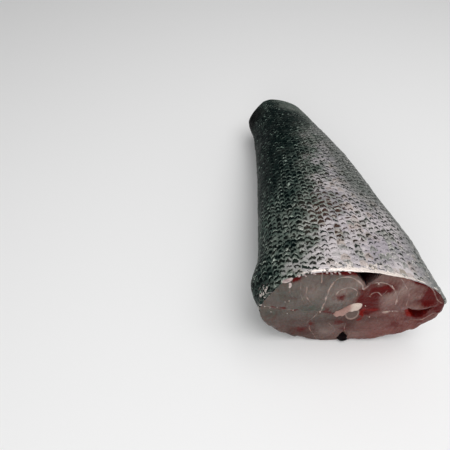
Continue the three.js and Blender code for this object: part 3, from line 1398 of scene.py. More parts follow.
@dataclass(frozen=True)
class Seam:
    """A pale sheet between muscle blocks, where a cut shows it as a line through listed points."""

    route: Route
    width: float = 0.7
    strength: float = 1.0

    def curve(self, steps: int = 12) -> Array:
        """Points along a smooth curve through the route, each x and z a cubic between stations.

        Args:
            steps: How many steps it makes between two stations.

        Returns:
            x and z of each point.
        """
        share = np.linspace(0.0, 1.0, steps * (len(self.route) - 1) + 1)
        x, z = np.array(self.route).T
        return np.stack([Body.along(x, share), Body.along(z, share)], axis=-1)

    def distance(self, places: Array) -> Array:
        """Distance from places on the cut to the nearest of the curve's straight steps.

        Args:
            places: x and z of each place.

        Returns:
            A distance for each place.
        """
        curve = self.curve()
        near = np.full(len(places), 1e9)
        for start, end in zip(curve[:-1], curve[1:]):
            step = end - start
            part = np.clip((places - start) @ step / (step @ step), 0.0, 1.0)
            near = np.minimum(near, np.linalg.norm(places - start - part[:, None] * step, axis=1))
        return near


UPPER_RINGS = (
    Seam(((-20.0, 40.7), (-19.4, 57.0), (-19.6, 67.0), (-18.3, 77.0), (-15.5, 81.8), (-11.0, 83.3),
          (-6.0, 81.3), (-1.2, 76.5), (1.4, 71.0)), 0.7, 0.9),
    Seam(((-14.0, 64.0), (-13.0, 70.0), (-7.4, 73.2), (-2.2, 69.5), (-1.4, 64.0)), 0.75, 0.7),
    Seam(((1.6, 71.0), (4.4, 75.5), (8.4, 77.6), (13.1, 76.9), (18.2, 73.3), (22.5, 66.7), (25.2, 60.5),
          (27.0, 51.0)), 0.85, 0.95),
    Seam(((21.6, 80.7), (25.8, 75.1), (30.3, 67.0), (32.6, 59.8), (33.8, 52.2)), 0.7, 0.5),
    Seam(((6.8, 62.9), (8.2, 66.7), (11.2, 67.6), (14.7, 63.6)), 0.7, 0.6),
    Seam(((16.0, 70.0), (15.0, 62.0), (16.5, 54.0)), 0.7, 0.35),
)

LEFT_ARCS = (
    Seam(((-26.3, 88.2), (-25.9, 83.0), (-25.3, 77.4)), 0.7, 0.7),
    Seam(((-33.7, 72.9), (-32.8, 64.7), (-30.7, 58.6), (-26.3, 50.9)), 0.8, 0.75),
    Seam(((-38.0, 78.0), (-37.0, 68.0), (-34.5, 59.0), (-31.0, 52.0)), 0.7, 0.5),
    Seam(((-44.0, 73.0), (-43.0, 66.0), (-40.0, 60.0)), 0.7, 0.5),
)

MIDDLE_SHEET = (
    Seam(((-59.3, 48.3), (-50.0, 46.2), (-39.2, 44.3)), 0.9, 0.8),
    Seam(((-39.2, 44.3), (-30.0, 42.5), (-20.0, 40.7)), 0.7, 0.35),
    Seam(((21.9, 41.4), (26.0, 42.0), (31.2, 41.6)), 2.2, 0.9),
    Seam(((31.2, 41.6), (34.0, 44.0), (36.0, 47.5)), 0.8, 0.4),
)

LOWER_RINGS = (
    Seam(((-21.3, 40.3), (-24.2, 33.3), (-26.8, 27.5), (-26.6, 21.5)), 0.8, 0.6),
    Seam(((-24.6, 29.0), (-24.3, 20.0), (-20.7, 10.7), (-16.5, 2.5)), 0.8, 0.5),
    Seam(((-12.2, 27.5), (-6.6, 20.0), (-5.5, 10.7), (-8.6, 7.4)), 0.8, 0.4),
    Seam(((-0.2, 26.0), (1.1, 16.9), (3.8, 7.4), (8.9, 0.8)), 0.8, 0.4),
    Seam(((19.1, 34.7), (21.3, 29.0)), 0.7, 0.4),
    Seam(((12.3, 36.8), (12.6, 32.0), (12.2, 27.0)), 0.6, 0.35),
    Seam(((29.2, 41.6), (32.8, 31.8), (34.8, 27.5)), 0.8, 0.45),
    Seam(((41.9, 33.3), (43.6, 26.0), (43.5, 20.0)), 0.7, 0.4),
)

BELLY_WALL = (
    Seam(((37.5, 76.3), (45.4, 68.2), (50.4, 59.8), (54.2, 54.8), (60.1, 49.6)), 0.9, 0.55),
    Seam(((43.6, 30.4), (49.9, 31.8), (55.0, 36.8), (57.2, 41.6)), 0.8, 0.7),
    Seam(((38.0, 48.4), (44.0, 45.7), (50.0, 48.4)), 0.9, 0.8),
)

SEAM_SPREAD = 1.1  # widths of a sheet over which it fades by its whole strength
GROOVE_WIDTH = 1.1
NO_SHEET = -3.0  # far enough under 0 that no sheet shows

SEAMS = UPPER_RINGS + LEFT_ARCS + MIDDLE_SHEET + LOWER_RINGS + BELLY_WALL

BLOOD = (
    Spot(11.5, 71.5, 8.5, 4.2, 1.1, 4.0), Spot(18.5, 73.0, 4.0, 3.4, 0.3),
    Spot(8.8, 58.0, 6.8, 10.5, 1.15), Spot(10.5, 44.0, 8.0, 6.5, 1.15),
    Spot(-10.2, 62.4, 3.4, 4.6, 0.75), Spot(-12.0, 71.0, 4.0, 3.5, 0.25),
    Spot(-12.8, 40.5, 7.0, 2.6, 0.65, -18.0), Spot(-17.5, 45.5, 2.0, 3.5, 0.7),
    Spot(33.5, 76.8, 9.0, 1.7, 0.9, -31.0), Spot(44.8, 66.4, 6.5, 6.0, 0.95, -40.0),
    Spot(48.0, 57.0, 6.5, 6.5, 0.95), Spot(42.5, 58.0, 5.0, 6.0, 0.4), Spot(55.5, 49.0, 5.5, 4.5, 0.9),
    Spot(-29.5, 16.5, 5.0, 6.0, 0.65, 40.0), Spot(-24.5, 26.0, 2.4, 3.4, 0.6),
    Spot(47.5, 25.0, 11.0, 6.5, 0.25, 32.0), Spot(35.0, 25.0, 5.0, 6.5, 0.5),
    Spot(-41.0, 80.3, 4.0, 2.2, 1.25, 38.0), Spot(-20.0, 87.3, 12.0, 1.3, 0.8),
    Spot(-8.0, 86.5, 9.0, 2.2, 0.6), Spot(0.6, 19.0, 2.2, 5.0, 0.65),
    Spot(-5.5, 29.0, 4.0, 3.6, 0.75, -20.0), Spot(-52.5, 47.4, 1.8, 0.9, 1.0),
    Spot(-45.3, 46.8, 2.6, 1.5, 1.1), Spot(-37.3, 44.2, 1.8, 1.1, 1.0),
    Spot(24.0, 35.0, 10.0, 5.0, 0.4), Spot(38.0, 13.0, 10.0, 6.0, 0.15, 25.0),
    Spot(1.5, 55.5, 3.0, 6.5, 0.8), Spot(-10.5, 87.4, 5.0, 1.8, 0.5), Spot(1.0, 64.0, 2.2, 8.0, 0.6),
    Spot(40.0, 20.0, 17.0, 9.0, 0.12, 20.0), Spot(43.5, 51.0, 9.0, 3.5, 0.05),
    Spot(6.0, 47.0, 4.0, 7.0, 0.5), Spot(57.5, 44.5, 4.0, 5.0, 0.6),
    Spot(46.0, 38.0, 10.0, 6.0, 0.9, 8.0), Spot(15.0, 68.0, 7.0, 3.0, 0.2),
)

BRIGHT = (
    Spot(8.4, 40.5, 1.7, 7.0, 1.0, 8.0), Spot(14.5, 45.0, 4.5, 2.2, 0.75, 12.0),
    Spot(41.5, 38.5, 4.2, 3.4, 1.1), Spot(38.5, 43.5, 2.6, 2.6, 1.0),
    Spot(47.0, 37.5, 4.0, 2.0, 0.7, 25.0), Spot(7.6, 31.5, 2.6, 1.8, 0.6),
    Spot(13.5, 72.5, 4.5, 1.6, 0.45, 8.0),
)

CORES = (
    Spot(-11.5, 66.0, 6.5, 12.0, 0.5), Spot(-3.0, 76.0, 6.0, 4.0, 0.35, -35.0),
    Spot(21.0, 61.0, 4.6, 9.0, 0.35), Spot(-12.5, 16.0, 6.0, 8.0, 0.45), Spot(8.0, 9.0, 9.0, 5.0, 0.4),
    Spot(27.5, 71.0, 5.0, 8.0, 0.5, -20.0), Spot(-30.0, 68.0, 7.0, 10.0, 0.3),
    Spot(14.0, 86.0, 9.0, 2.5, 0.3), Spot(30.5, 7.4, 2.6, 1.8, 0.9),
    Spot(39.5, 64.0, 3.5, 8.0, 0.35, -20.0), Spot(44.0, 50.6, 6.5, 1.8, 0.5),
)

GREEN = (
    Spot(-6.0, 65.0, 3.4, 4.4, 1.0), Spot(-29.0, 46.0, 9.0, 4.0, 0.9), Spot(-47.5, 62.0, 5.0, 7.0, 0.6),
    Spot(-52.0, 40.0, 9.0, 5.0, 0.6), Spot(-38.0, 66.0, 4.0, 8.0, 0.4), Spot(18.5, 66.0, 3.0, 4.0, 0.6),
    Spot(10.0, 22.0, 6.0, 5.0, 0.35), Spot(-24.0, 55.0, 4.0, 8.0, 0.3),
    Spot(-14.0, 62.0, 2.5, 9.0, 0.3),
)

# Darker patches on the broad cut; those low down are partly painted shade
DUSKY_AND_SHADE = (
    Spot(-33.0, 30.0, 12.0, 7.0, 0.3), Spot(-36.0, 14.0, 9.0, 8.0, 0.4),
    Spot(-8.0, 31.0, 9.0, 4.0, 0.5), Spot(1.8, 5.0, 1.6, 6.0, 1.0), Spot(48.0, 16.0, 12.0, 7.0, 0.1),
    Spot(15.0, 33.0, 12.0, 4.0, 0.5), Spot(2.0, 25.0, 4.0, 8.0, 0.5), Spot(43.0, 56.0, 8.0, 3.5, 0.35),
    Spot(-52.0, 52.0, 5.0, 4.0, 0.2), Spot(-25.0, 12.0, 6.0, 8.0, 0.35),
)

LUMPS = (
    Spot(-7.5, 66.0, 13.0, 16.0, 1.0), Spot(15.0, 64.0, 11.0, 14.0, 0.9),
    Spot(-11.5, 18.0, 9.0, 13.0, 1.2), Spot(12.0, 16.0, 12.0, 14.0, 1.0),
    Spot(-37.0, 62.0, 13.0, 16.0, 0.6), Spot(-40.0, 28.0, 14.0, 12.0, 0.6),
    Spot(36.0, 62.0, 9.0, 11.0, 0.7), Spot(43.5, 51.0, 9.0, 3.0, 2.6, 2.0),
    Spot(1.8, 5.5, 1.8, 7.0, -2.2), Spot(35.0, 24.0, 7.0, 8.0, 0.8),
    Spot(-19.0, 39.5, 6.0, 2.0, -0.7, -20.0), Spot(30.0, 41.0, 10.0, 1.6, -0.5),
    Spot(50.0, 28.0, 7.0, 4.0, 0.7, 35.0),
)


# The spot sets of each mask: stains, tones, and patches that are partly painted shade
SPOT_MASKS = {"blood": BLOOD, "bright": BRIGHT, "core": CORES, "green": GREEN, "dusky_and_shade": DUSKY_AND_SHADE}


@dataclass
class Cut:
    """Relief and colouring of a cut: how far each point stands out of it, and masks from 0 to 1."""

    relief: Array
    masks: dict[str, Array]


@dataclass
class Flesh:
    """The meat from cut to cut, a closed ring round the backbone's bore."""

    around: int = 600
    face_rows: int = 112
    tail_rows: int = 30
    inset: float = 0.9
    inset_below: float = 0.3
    bore_gap: float = 0.1
    brim_along: tuple[float, ...] = (1.0, 2.2)
    side_from: float = 3.4
    side_inset: float = 1.5
    side_shares: tuple[float, ...] = (0.06, 0.25, 0.5, 0.75, 0.97)
    crown: float = 0.9
    groove_depth: float = 0.4
    tuck: float = 0.4
    brim: float = 1.2
    brim_fall: float = 0.9
    seam_stray: float = 0.22
    spot_stray: float = 1.3
    cavity_stray: float = 0.25
    taper: float = 0.0018
    hollow_tip: tuple[float, float] = (1.9, 75.0)
    hollow_size: tuple[float, float] = (7.6, 11.0)
    hollow_curves: tuple[float, float] = (1.2, 1.15)
    hollow_depth: float = 12.0
    cavity_corner: tuple[float, float] = (35.5, 49.0)
    cavity_width: float = 17.0
    cavity_depth: float = 7.0
    roof_sag: float = 5.0
    floor_sag: float = 15.5
    floor_lean: float = 5.0
    steepness: float = 0.85
    tail_lobe: tuple[float, float, float, float] = (11.0, 9.0, 9.0, 8.0)
    lobe_rings: float = 2.4
    lobe_reach: float = 1.9
    front: Array = field(default_factory=lambda: np.zeros((0, 3)))
    grain: Grain = field(default_factory=lambda: Grain(23))

    @staticmethod
    def below(angle: Array) -> Array:
        """Where the cut's underside is, by the angle round the section: 0 above, 1 below."""
        return smoothstep(-0.02, -0.32, np.sin(angle))

    def rim(self, angle: Array, share: float, inset: Depth) -> Array:
        """The edge of a section, inside the skin: x and z of each point, kept off the floor."""
        x, z = BODY.section(angle, np.full_like(angle, share), inset)
        return np.stack([x, np.maximum(z, np.minimum(inset, 0.8))], axis=-1)

    def disc(self, angle: Array, rim: Array, share: float, rows: int) -> tuple[Array, Array]:
        """Places over a cut: straight steps from the bore to the rim.

        Args:
            angle: Angle of each column.
            rim: The edge of the cut.
            share: 0 for the broad cut, 1 for the tail cut.
            rows: How many steps.

        Returns:
            The x and z grid, and each row's share of the way to the rim.
        """
        bone_x, bone_z, half_x, half_z = BODY.vertebra(share)
        aim = np.arctan2(rim[:, 1] - bone_z, rim[:, 0] - bone_x)
        bore = np.stack([
            bone_x + (half_x + self.bore_gap) * np.cos(aim),
            bone_z + (half_z + self.bore_gap) * np.sin(aim),
        ], axis=-1)
        way = np.linspace(0.0, 1.0, rows)[:, None, None]
        return bore * (1 - way) + rim * way, way[:, 0]

    def hollow(self, places: Array) -> Array:
        """How far inside the wedge under the skin a place is, in millimetres; less than 0 is outside.

        A side is half width (height over the tip / wedge height)^curve away from the tip's line.

        Args:
            places: x and z of each place.

        Returns:
            A distance for each place.
        """
        half_width, height = self.hollow_size
        x, z = (places - np.array(self.hollow_tip)).T
        up = np.maximum(z, 0.0) / height
        left, right = (half_width * up**curve for curve in self.hollow_curves)
        return np.where(z > 0.0, np.minimum(x + left, right - x), -1.0)

    def cavity(self, places: Array) -> Array:
        """How far inside the end of the body cavity a place is, in millimetres.

        Roof and floor both sag from corner to corner by 4 sag t (1 - t). The roof's x runs width t from
        the corner. The floor leans: its x runs (width + 2 lean) t - 2 lean t^2, which is solved for t.

        Args:
            places: x and z of each place.

        Returns:
            A distance for each place, less than 0 outside.
        """
        run = places[:, 0] - self.cavity_corner[0]
        roof_t = np.clip(run / self.cavity_width, 0.0, 1.0)
        bend = 2 * self.floor_lean
        reach = self.cavity_width + bend
        root = np.sqrt(np.maximum(reach**2 - 4 * bend * run, 0.0))
        floor_t = np.clip((reach - root) / (2 * bend), 0.0, 1.0)
        roof = self.cavity_corner[1] - 4 * self.roof_sag * roof_t * (1 - roof_t)
        floor = self.cavity_corner[1] - 4 * self.floor_sag * floor_t * (1 - floor_t)
        return self.steepness * np.minimum(roof - places[:, 1], places[:, 1] - floor)

    def broad_cut(self, places: Array, way: Array, below: Array) -> Cut:
        """Relief and colouring of the broad cut.

        Args:
            places: x and z of each point.
            way: Each point's share of the way to the rim.
            below: How much each point's column ends on the underside, where the meat bulges over the skin.

        Returns:
            The cut.
        """
        deep = np.column_stack([places, np.zeros(len(places))])
        stray = self.stray(deep, 5.0) + 0.4 * self.stray(deep, 1.8, 70.0)
        wandered = places + self.seam_stray * stray
        sheet, groove = self.sheets(wandered, 0.75 + 0.5 * self.grain.at(deep + 20.0, 4.0))
        spot_places = places + self.spot_stray * stray
        cover = {
            label: np.sum([spot.cover(spot_places) for spot in spots], axis=0) for label, spots in SPOT_MASKS.items()
        }
        wedge = self.hollow(wandered)
        sunk = smoothstep(-0.2, 0.7, wedge)
        wedge_dark = smoothstep(-0.45, 0.05, wedge)
        inside = self.cavity(places + self.cavity_stray * stray)
        cleft = smoothstep(-0.2, 2.6, inside)
        relief = self.swelling(places, way, below, groove)
        relief -= self.hollow_depth * sunk + self.cavity_depth * cleft
        roof = smoothstep(0.0, 3.5, self.cavity_corner[1] - 6.0 - places[:, 1])
        open_dark = smoothstep(-0.2, 0.9, inside)
        # Painted shade: darker towards the lower left of the cut
        low = 0.28 * smoothstep(46.0, 22.0, places[:, 1]) * smoothstep(40.0, 15.0, places[:, 0])
        rosy = 0.75 * smoothstep(-22.0, 28.0, places[:, 0]) + 0.3 * smoothstep(42.0, 12.0, places[:, 1])
        masks = {
            "sheet": np.where(wedge_dark + open_dark > 0.3, NO_SHEET, sheet),
            "blood": cover["blood"] + 0.8 * sunk + 1.1 * open_dark,
            "bright": cover["bright"] * (1 - 0.8 * sunk),
            "core": np.clip(cover["core"], 0.0, 1.0),
            "green": np.clip(cover["green"], 0.0, 1.0),
            # darker patches, with painted shade low on the cut and along the underside rim
            "dusky_and_shade": np.clip(cover["dusky_and_shade"] + low + 0.2 * below * smoothstep(0.85, 1.0, way), 0.0, 1.0),
            # painted shade in the wedge, and in the cavity, darkest in its upper part
            "hollow": np.maximum(wedge_dark, 0.85 * open_dark * (1 - 0.8 * roof)),
            "rosy": np.clip(rosy, 0.0, 1.0),
        }
        return Cut(relief, masks)

    def stray(self, deep: Array, size: float, apart: float = 40.0) -> Array:
        """A random shift of each place on a cut: noise sideways, and another noise up and down."""
        return np.column_stack([self.grain.at(deep, size), self.grain.at(deep + apart, size)])

    @staticmethod
    def sheets(places: Array, patchy: Array) -> tuple[Array, Array]:
        """The sheets between the muscle blocks, as a strength less the distance in widths.

        Args:
            places: x and z of each place.
            patchy: What the sheets' strength is multiplied by at each place.

        Returns:
            How strongly a sheet shows at each place, where less than 0 is off it, and how deep the sheets'
            groove is, up to 1.
        """
        sheet = np.full(len(places), NO_SHEET)
        groove = np.zeros(len(places))
        for seam in SEAMS:
            near = seam.distance(places)
            sheet = np.maximum(sheet, seam.strength * patchy - near / (SEAM_SPREAD * seam.width))
            groove += seam.strength * bell(near / GROOVE_WIDTH)
        return sheet, np.minimum(groove, 1.0)

    def swelling(self, places: Array, way: Array, below: Array, groove: Array) -> Array:
        """How far the broad cut's meat stands out, before the hollow and the cavity are sunk into it.

        It is crowned by crown (1 - way^3) and has a lump for each muscle block. Above, it is tucked in at
        the rim. On the underside it brims over the skin.

        Args:
            places: x and z of each point.
            way: Each point's share of the way to the rim.
            below: How much each point's column ends on the underside.
            groove: How deep the sheets' groove is, up to 1.

        Returns:
            A height for each point.
        """
        deep = np.column_stack([places, np.zeros(len(places))])
        lump = np.sum([spot.cover(places) for spot in LUMPS], axis=0)
        relief = self.crown * (1 - way**3) + lump - self.groove_depth * groove
        relief += 0.12 * self.grain.at(deep, 3.0) + 0.05 * self.grain.at(deep, 1.1)
        relief *= 0.15 + 0.85 * smoothstep(0.0, 0.12, way)
        tucked = relief * smoothstep(1.0, 0.9, way) - self.tuck * smoothstep(0.93, 1.0, way)
        brim = self.brim + 0.7 * self.grain.at(deep + 60.0, 5.0) + 0.35 * self.grain.at(deep + 15.0, 2.0)
        brimming = relief + brim * smoothstep(0.7, 0.95, way) - self.brim_fall * smoothstep(0.965, 1.0, way)
        return tucked * (1 - below) + brimming * below

    def tail_cut(self, places: Array, way: Array) -> Cut:
        """Relief and colouring of the tail cut: four lobes round the backbone, ringed in pale sheets.

        Args:
            places: x and z of each point.
            way: Each point's share of the way to the rim.

        Returns:
            The cut.
        """
        bone_x, bone_z, _, _ = BODY.vertebra(1.0)
        deep = np.column_stack([places, np.full(len(places), 300.0)])
        off = np.abs(places + 0.7 * self.stray(deep, 4.0) - np.array([bone_x, bone_z]))
        lobe_x, lobe_z, half_x, half_z = self.tail_lobe
        lobe = np.hypot((off[:, 0] - lobe_x) / half_x, (off[:, 1] - lobe_z) / half_z)
        rings = np.abs((lobe * self.lobe_rings) % 1.0 - 0.5) * 3.4
        patchy = 0.6 + 0.6 * self.grain.at(deep + 20.0, 5.0)
        sheet = np.where(lobe < self.lobe_reach, patchy - rings, NO_SHEET)
        sheet = np.maximum(sheet, 0.8 - off[:, 1] / 0.7)
        blood = 1.1 * bell(np.hypot(off[:, 0] / 6.5, off[:, 1] / 5.5)) + 0.4 * self.grain.at(deep, 6.0)
        blood += 0.6 * smoothstep(0.8, 1.0, way)
        relief = 0.6 * (1 - way**3) + 0.7 * bell(lobe) - 0.3 * smoothstep(0.92, 1.0, way)
        relief = (relief + 0.15 * self.grain.at(deep, 2.0)) * smoothstep(1.0, 0.9, way)
        masks = {
            "sheet": sheet,
            "blood": blood,
            "bright": 0.7 * bell(np.hypot(off[:, 0] / 5.0, off[:, 1] / 4.0)),
            "core": 0.6 * bell(lobe * 1.5),
            "green": 0.5 * bell(lobe * 3.0),
            "dusky_and_shade": 0.4 * smoothstep(0.5, 1.0, way),
            "hollow": np.zeros_like(way),
            "rosy": np.full_like(way, 0.5),
        }
        return Cut(relief, masks)

    def build(self, finish: bpy.types.Material) -> bpy.types.Object:
        """Make the meat: broad cut, its brim and the side, tail cut and bore, closed in a ring.

        Args:
            finish: Its material.

        Returns:
            The piece.
        """
        angle = BODY.even_angles(0.0, self.around)
        tail_angle = BODY.even_angles(1.0, self.around)
        below = np.maximum(self.below(angle), 0.8 * bell(angle / BODY.tip_spread))
        edge_inset = self.inset + (self.inset_below - self.inset) * below
        brim_rim = self.rim(angle, 0.0, edge_inset)
        wobble = self.grain.at(np.column_stack([brim_rim, 0 * angle]), 4.0)
        brim_rim[:, 1] += below * 0.6 * np.maximum(wobble, -0.3)
        places, way = self.disc(angle, brim_rim, 0.0, self.face_rows)
        shape = places.shape[:2]
        spread = np.broadcast_to(way, shape).ravel()
        broad = self.broad_cut(places.reshape(-1, 2), spread, np.broadcast_to(below, shape).ravel())
        depth = -broad.relief.reshape(shape)
        narrow = 1.0 - self.taper * np.maximum(depth, 0.0)
        front = np.stack([places[..., 0] * narrow, depth, places[..., 1] * narrow], axis=-1)
        self.front = front.reshape(-1, 3)

        tail_rim = self.rim(tail_angle, 1.0, self.inset)
        tail_places, tail_way = self.disc(tail_angle, tail_rim, 1.0, self.tail_rows)
        tail_shape = tail_places.shape[:2]
        tail = self.tail_cut(tail_places.reshape(-1, 2), np.broadcast_to(tail_way, tail_shape).ravel())
        back = np.stack([
            tail_places[..., 0], BODY.length + tail.relief.reshape(tail_shape), tail_places[..., 1],
        ], axis=-1)

        brim_rows = [self.side(brim_rim, y) for y in self.brim_along]
        brim_rows.append(self.side(self.rim(angle, 0.0, self.side_inset), self.side_from))
        shares = self.side_shares
        sides = []
        for share in shares:
            turn = (1 - share) * angle + share * self.near(tail_angle, angle)
            sides.append(self.side(self.rim(turn, share, self.side_inset), share * BODY.length))
        bores = [self.bore(front[0], back[0], share) for share in shares[::-1]]
        points = np.concatenate([front, *brim_rows, *sides, back[::-1], *bores])
        values = {}
        for label in broad.masks:
            face = broad.masks[label].reshape(shape)
            end = tail.masks[label].reshape(tail_shape)[::-1]
            plain = np.zeros((len(shares), self.around))
            brim = np.repeat(face[-1:], len(brim_rows), axis=0)
            values[label] = np.concatenate([face, brim, plain, end, plain])
        piece = make_piece("flesh_meat", Grid(BODY.trim(points), closed=True, values=values))
        return settle(piece, "raw_flesh", finish, "flesh")

    @staticmethod
    def near(turned: Array, angle: Array) -> Array:
        """The same angles as turned, each within half a turn of the angle in its column."""
        return turned + 2 * math.pi * np.round((angle - turned) / (2 * math.pi))

    @staticmethod
    def side(rim: Array, y: float) -> Array:
        """One row of the side."""
        return np.stack([rim[:, 0], np.full(len(rim), y), rim[:, 1]], axis=-1)[None]

    @staticmethod
    def bore(front: Array, back: Array, share: float) -> Array:
        """One row of the bore, straight between its two mouths."""
        return ((1 - share) * front + share * back)[None]

    def surface(self, x: float, z: float) -> float:
        """Height of y where the broad cut's surface is nearest to an x and z."""
        return float(self.front[np.argmin(np.hypot(self.front[:, 0] - x, self.front[:, 2] - z)), 1])


# ---------------------------------------------------------------------------------------------------
# Bone
# ---------------------------------------------------------------------------------------------------


@dataclass
class Bone:
    """The backbone from cut to cut, with the arch that stands on its vertebra at the broad cut."""

    around: int = 64
    proud: float = 1.75
    lean: float = 1.25
    tail_proud: float = 0.8
    cup_depth: float = 1.3
    pole_way: float = 0.1
    arch: Path = (
        (-10.6, -0.6, 38.8, 2.4), (-8.6, -0.9, 39.6, 3.6), (-6.2, -1.0, 41.4, 3.5), (-3.8, -1.0, 44.8, 3.1),
        (-1.0, -1.0, 48.0, 4.2), (2.0, -0.9, 49.9, 4.9), (5.4, -0.6, 50.2, 4.7),
    )
    grain: Grain = field(default_factory=lambda: Grain(37))

    def end(self, share: float, ways: Array) -> tuple[Array, Array]:
        """One end of the rod, from its middle outwards: an oval cup inside a rounded ring.

        It stands proud of the cut, and at the broad cut it leans: proud - lean times height. The cup sinks
        by its depth times 1 - way^4.

        Args:
            share: 0 for the broad cut, 1 for the tail cut.
            ways: Each row's share of the way to the rim.

        Returns:
            The points, and each row's share of the way.
        """
        x, z, half_x, half_z = BODY.vertebra(share)
        angle = np.arange(self.around) / self.around * 2 * math.pi
        way = ways[:, None]
        up = way * np.sin(angle)
        proud = self.proud - self.lean * up if share == 0.0 else self.tail_proud + 0 * up
        rise = proud - self.cup_depth * (1 - way**4) - 0.35 * smoothstep(0.9, 1.0, way)
        y = share * BODY.length + np.where(share == 0.0, -rise, rise)
        points = np.stack([x + half_x * way * np.cos(angle), y, z + half_z * up], axis=-1)
        points[..., 1] += 0.12 * self.grain.at(points, 1.3)
        return points, np.repeat(way, self.around, axis=1)

    def backbone(self, finish: bpy.types.Material) -> bpy.types.Object:
        """Make the rod, whose two ends are cups.

        Args:
            finish: Its material.

        Returns:
            The piece.
        """
        ways = np.concatenate([np.linspace(self.pole_way, 0.8, 8), [0.86, 0.91, 0.95, 0.98, 1.0]])
        broad, broad_way = self.end(0.0, ways)
        tail, tail_way = self.end(1.0, ways)
        walls = [broad[-1:] * (1 - share) + tail[-1:] * share for share in (0.01, 0.3, 0.6, 0.99)]
        points = np.concatenate([broad, *walls, tail[::-1]])
        way = np.concatenate([broad_way, np.ones((len(walls), self.around)), tail_way[::-1]])
        ring = smoothstep(0.8, 0.9, way)
        values = {"cup": 1.0 - ring, "ring": ring, "pink": 0 * way}
        grid = Grid(points, first_pole=broad[0].mean(axis=0), last_pole=tail[0].mean(axis=0), values=values)
        return settle(make_piece("backbone_rod", grid), "bone", finish, "backbone")

    def spine_arch(self, finish: bpy.types.Material) -> bpy.types.Object:
        """Make the arch: a flat lump along a curve, half sunk in the flesh, pink at its back end.

        Args:
            finish: Its material.

        Returns:
            The piece.
        """
        grid = strand(self.arch, steps=56, around=28, flatness=0.42, roundness=9.0)
        grid.points += 0.55 * self.grain.at(grid.points, 2.2)[..., None]
        pink = smoothstep(0.0, -4.0, grid.points[..., 0])
        grid.values = {"cup": 0 * pink, "ring": 0 * pink, "pink": pink}
        return settle(make_piece("spine_arch", grid), "bone", finish)


# ---------------------------------------------------------------------------------------------------
# Scraps
# ---------------------------------------------------------------------------------------------------


@dataclass
class Scraps:
    """Torn bits on the broad cut: shreds of skin at its rim, flecks of fat that also stand for painted
    glints, and the dark flap below.
    """

    flesh: Flesh
    flap: Path = (
        (-0.4, 0.6, 13.0, 0.8), (0.4, 0.0, 10.4, 1.7), (1.2, -0.8, 7.4, 2.7), (1.6, -1.6, 4.4, 3.7),
        (1.4, -1.9, 1.6, 3.5),
    )
    torn_flap: Path = (
        (-49.2, -0.4, 77.4, 0.9), (-47.6, -0.8, 79.2, 1.7), (-45.2, -0.9, 81.2, 1.7),
        (-43.2, -0.6, 83.0, 0.9),
    )
    tooth: Path = (
        (-44.6, -1.2, 78.6, 1.0), (-44.1, -1.6, 75.6, 0.9), (-44.3, -1.3, 72.6, 0.5),
    )
    drips: Route = (
        (-39.9, 85.0), (-36.3, 85.6), (-31.5, 87.2), (-24.0, 88.4), (-21.2, 87.8), (-19.7, 88.9),
        (-16.4, 87.6), (-11.0, 88.6),
    )
    drip_lengths: tuple[float, ...] = (1.8, 2.4, 1.0, 1.3, 1.9, 1.2, 2.2, 1.0)
    drip_leans: tuple[float, ...] = (-0.6, 0.5, 1.4, -0.8, 0.2, 1.0, -0.3, 0.9)
    flecks: Route = (
        (-45.0, 55.4), (-42.6, 56.7), (-52.9, 41.8), (-45.2, 39.1), (-42.0, 40.5), (-38.5, 44.4),
        (14.1, 35.6), (7.5, 51.0), (7.4, 62.9), (9.2, 76.8), (18.2, 74.0), (27.7, 42.6), (-53.9, 46.2),
        (-49.4, 48.0), (-57.4, 47.4), (-19.9, 40.2), (25.1, 44.0),
    )
    fleck_size: tuple[float, float] = (0.25, 0.5)
    fleck_rise: float = 0.1
    seed: int = 3
    grain: Grain = field(default_factory=lambda: Grain(41))

    @staticmethod
    def shred(path: Path) -> Grid:
        """A thin, blunt shred along a path."""
        return strand(path, steps=12, around=10, flatness=0.6, roundness=4.0)

    def shreds(self, finish: bpy.types.Material) -> bpy.types.Object:
        """Make the shreds of skin: the flap, its tooth and the drips that hang off the rim.

        Args:
            finish: Their material.

        Returns:
            The piece.
        """
        hung = [
            self.shred(((x - 1.2, -0.6, z + 1.2, 0.45), (x + 0.3, -0.9, z + 0.6 - 0.4 * length, 0.5),
                        (x + lean, -0.8, z + 0.8 - length, 0.3)))
            for (x, z), length, lean in zip(self.drips, self.drip_lengths, self.drip_leans)
        ]
        torn = strand(self.torn_flap, steps=20, around=14, flatness=0.4, roundness=4.0)
        tooth = self.shred(self.tooth)
        return settle(make_piece("rim_shreds", torn, tooth, *hung), "scaly_skin", finish)

    def fat_and_glints(self, finish: bpy.types.Material) -> bpy.types.Object:
        """Make the flecks of fat, which also stand for painted wet glints: small ovals, each half sunk where
        it lies on the meat.

        Args:
            finish: Their material.

        Returns:
            The piece.
        """
        draw = np.random.default_rng(self.seed)
        beads = []
        for x, z in self.flecks:
            y = self.flesh.surface(x, z) - self.fleck_rise
            size = draw.uniform(*self.fleck_size)
            run, climb = size * draw.uniform(-1.2, 1.2, 2)
            ends = ((x - run, y, z - climb, size), (x + run, y, z + climb, size))
            beads.append(strand(ends, steps=8, around=10, flatness=0.6))
        return settle(make_piece("fat_and_glint_flecks", *beads), "raw_flesh", finish)

    def low_flap(self, finish: bpy.types.Material) -> bpy.types.Object:
        """Make the dark flap of membrane that hangs over the lower rim.

        Args:
            finish: Its material.

        Returns:
            The piece.
        """
        grid = strand(self.flap, steps=40, around=32, flatness=0.3, roundness=6.0)
        grid.points += 1.1 * np.stack([self.grain.at(grid.points + 20.0 * k, 2.6) for k in range(3)], axis=-1)
        grid.points[..., 2] = np.maximum(grid.points[..., 2], 0.1)
        return settle(make_piece("low_flap", grid), "scaly_skin", finish)


# ---------------------------------------------------------------------------------------------------
# Studio
# ---------------------------------------------------------------------------------------------------


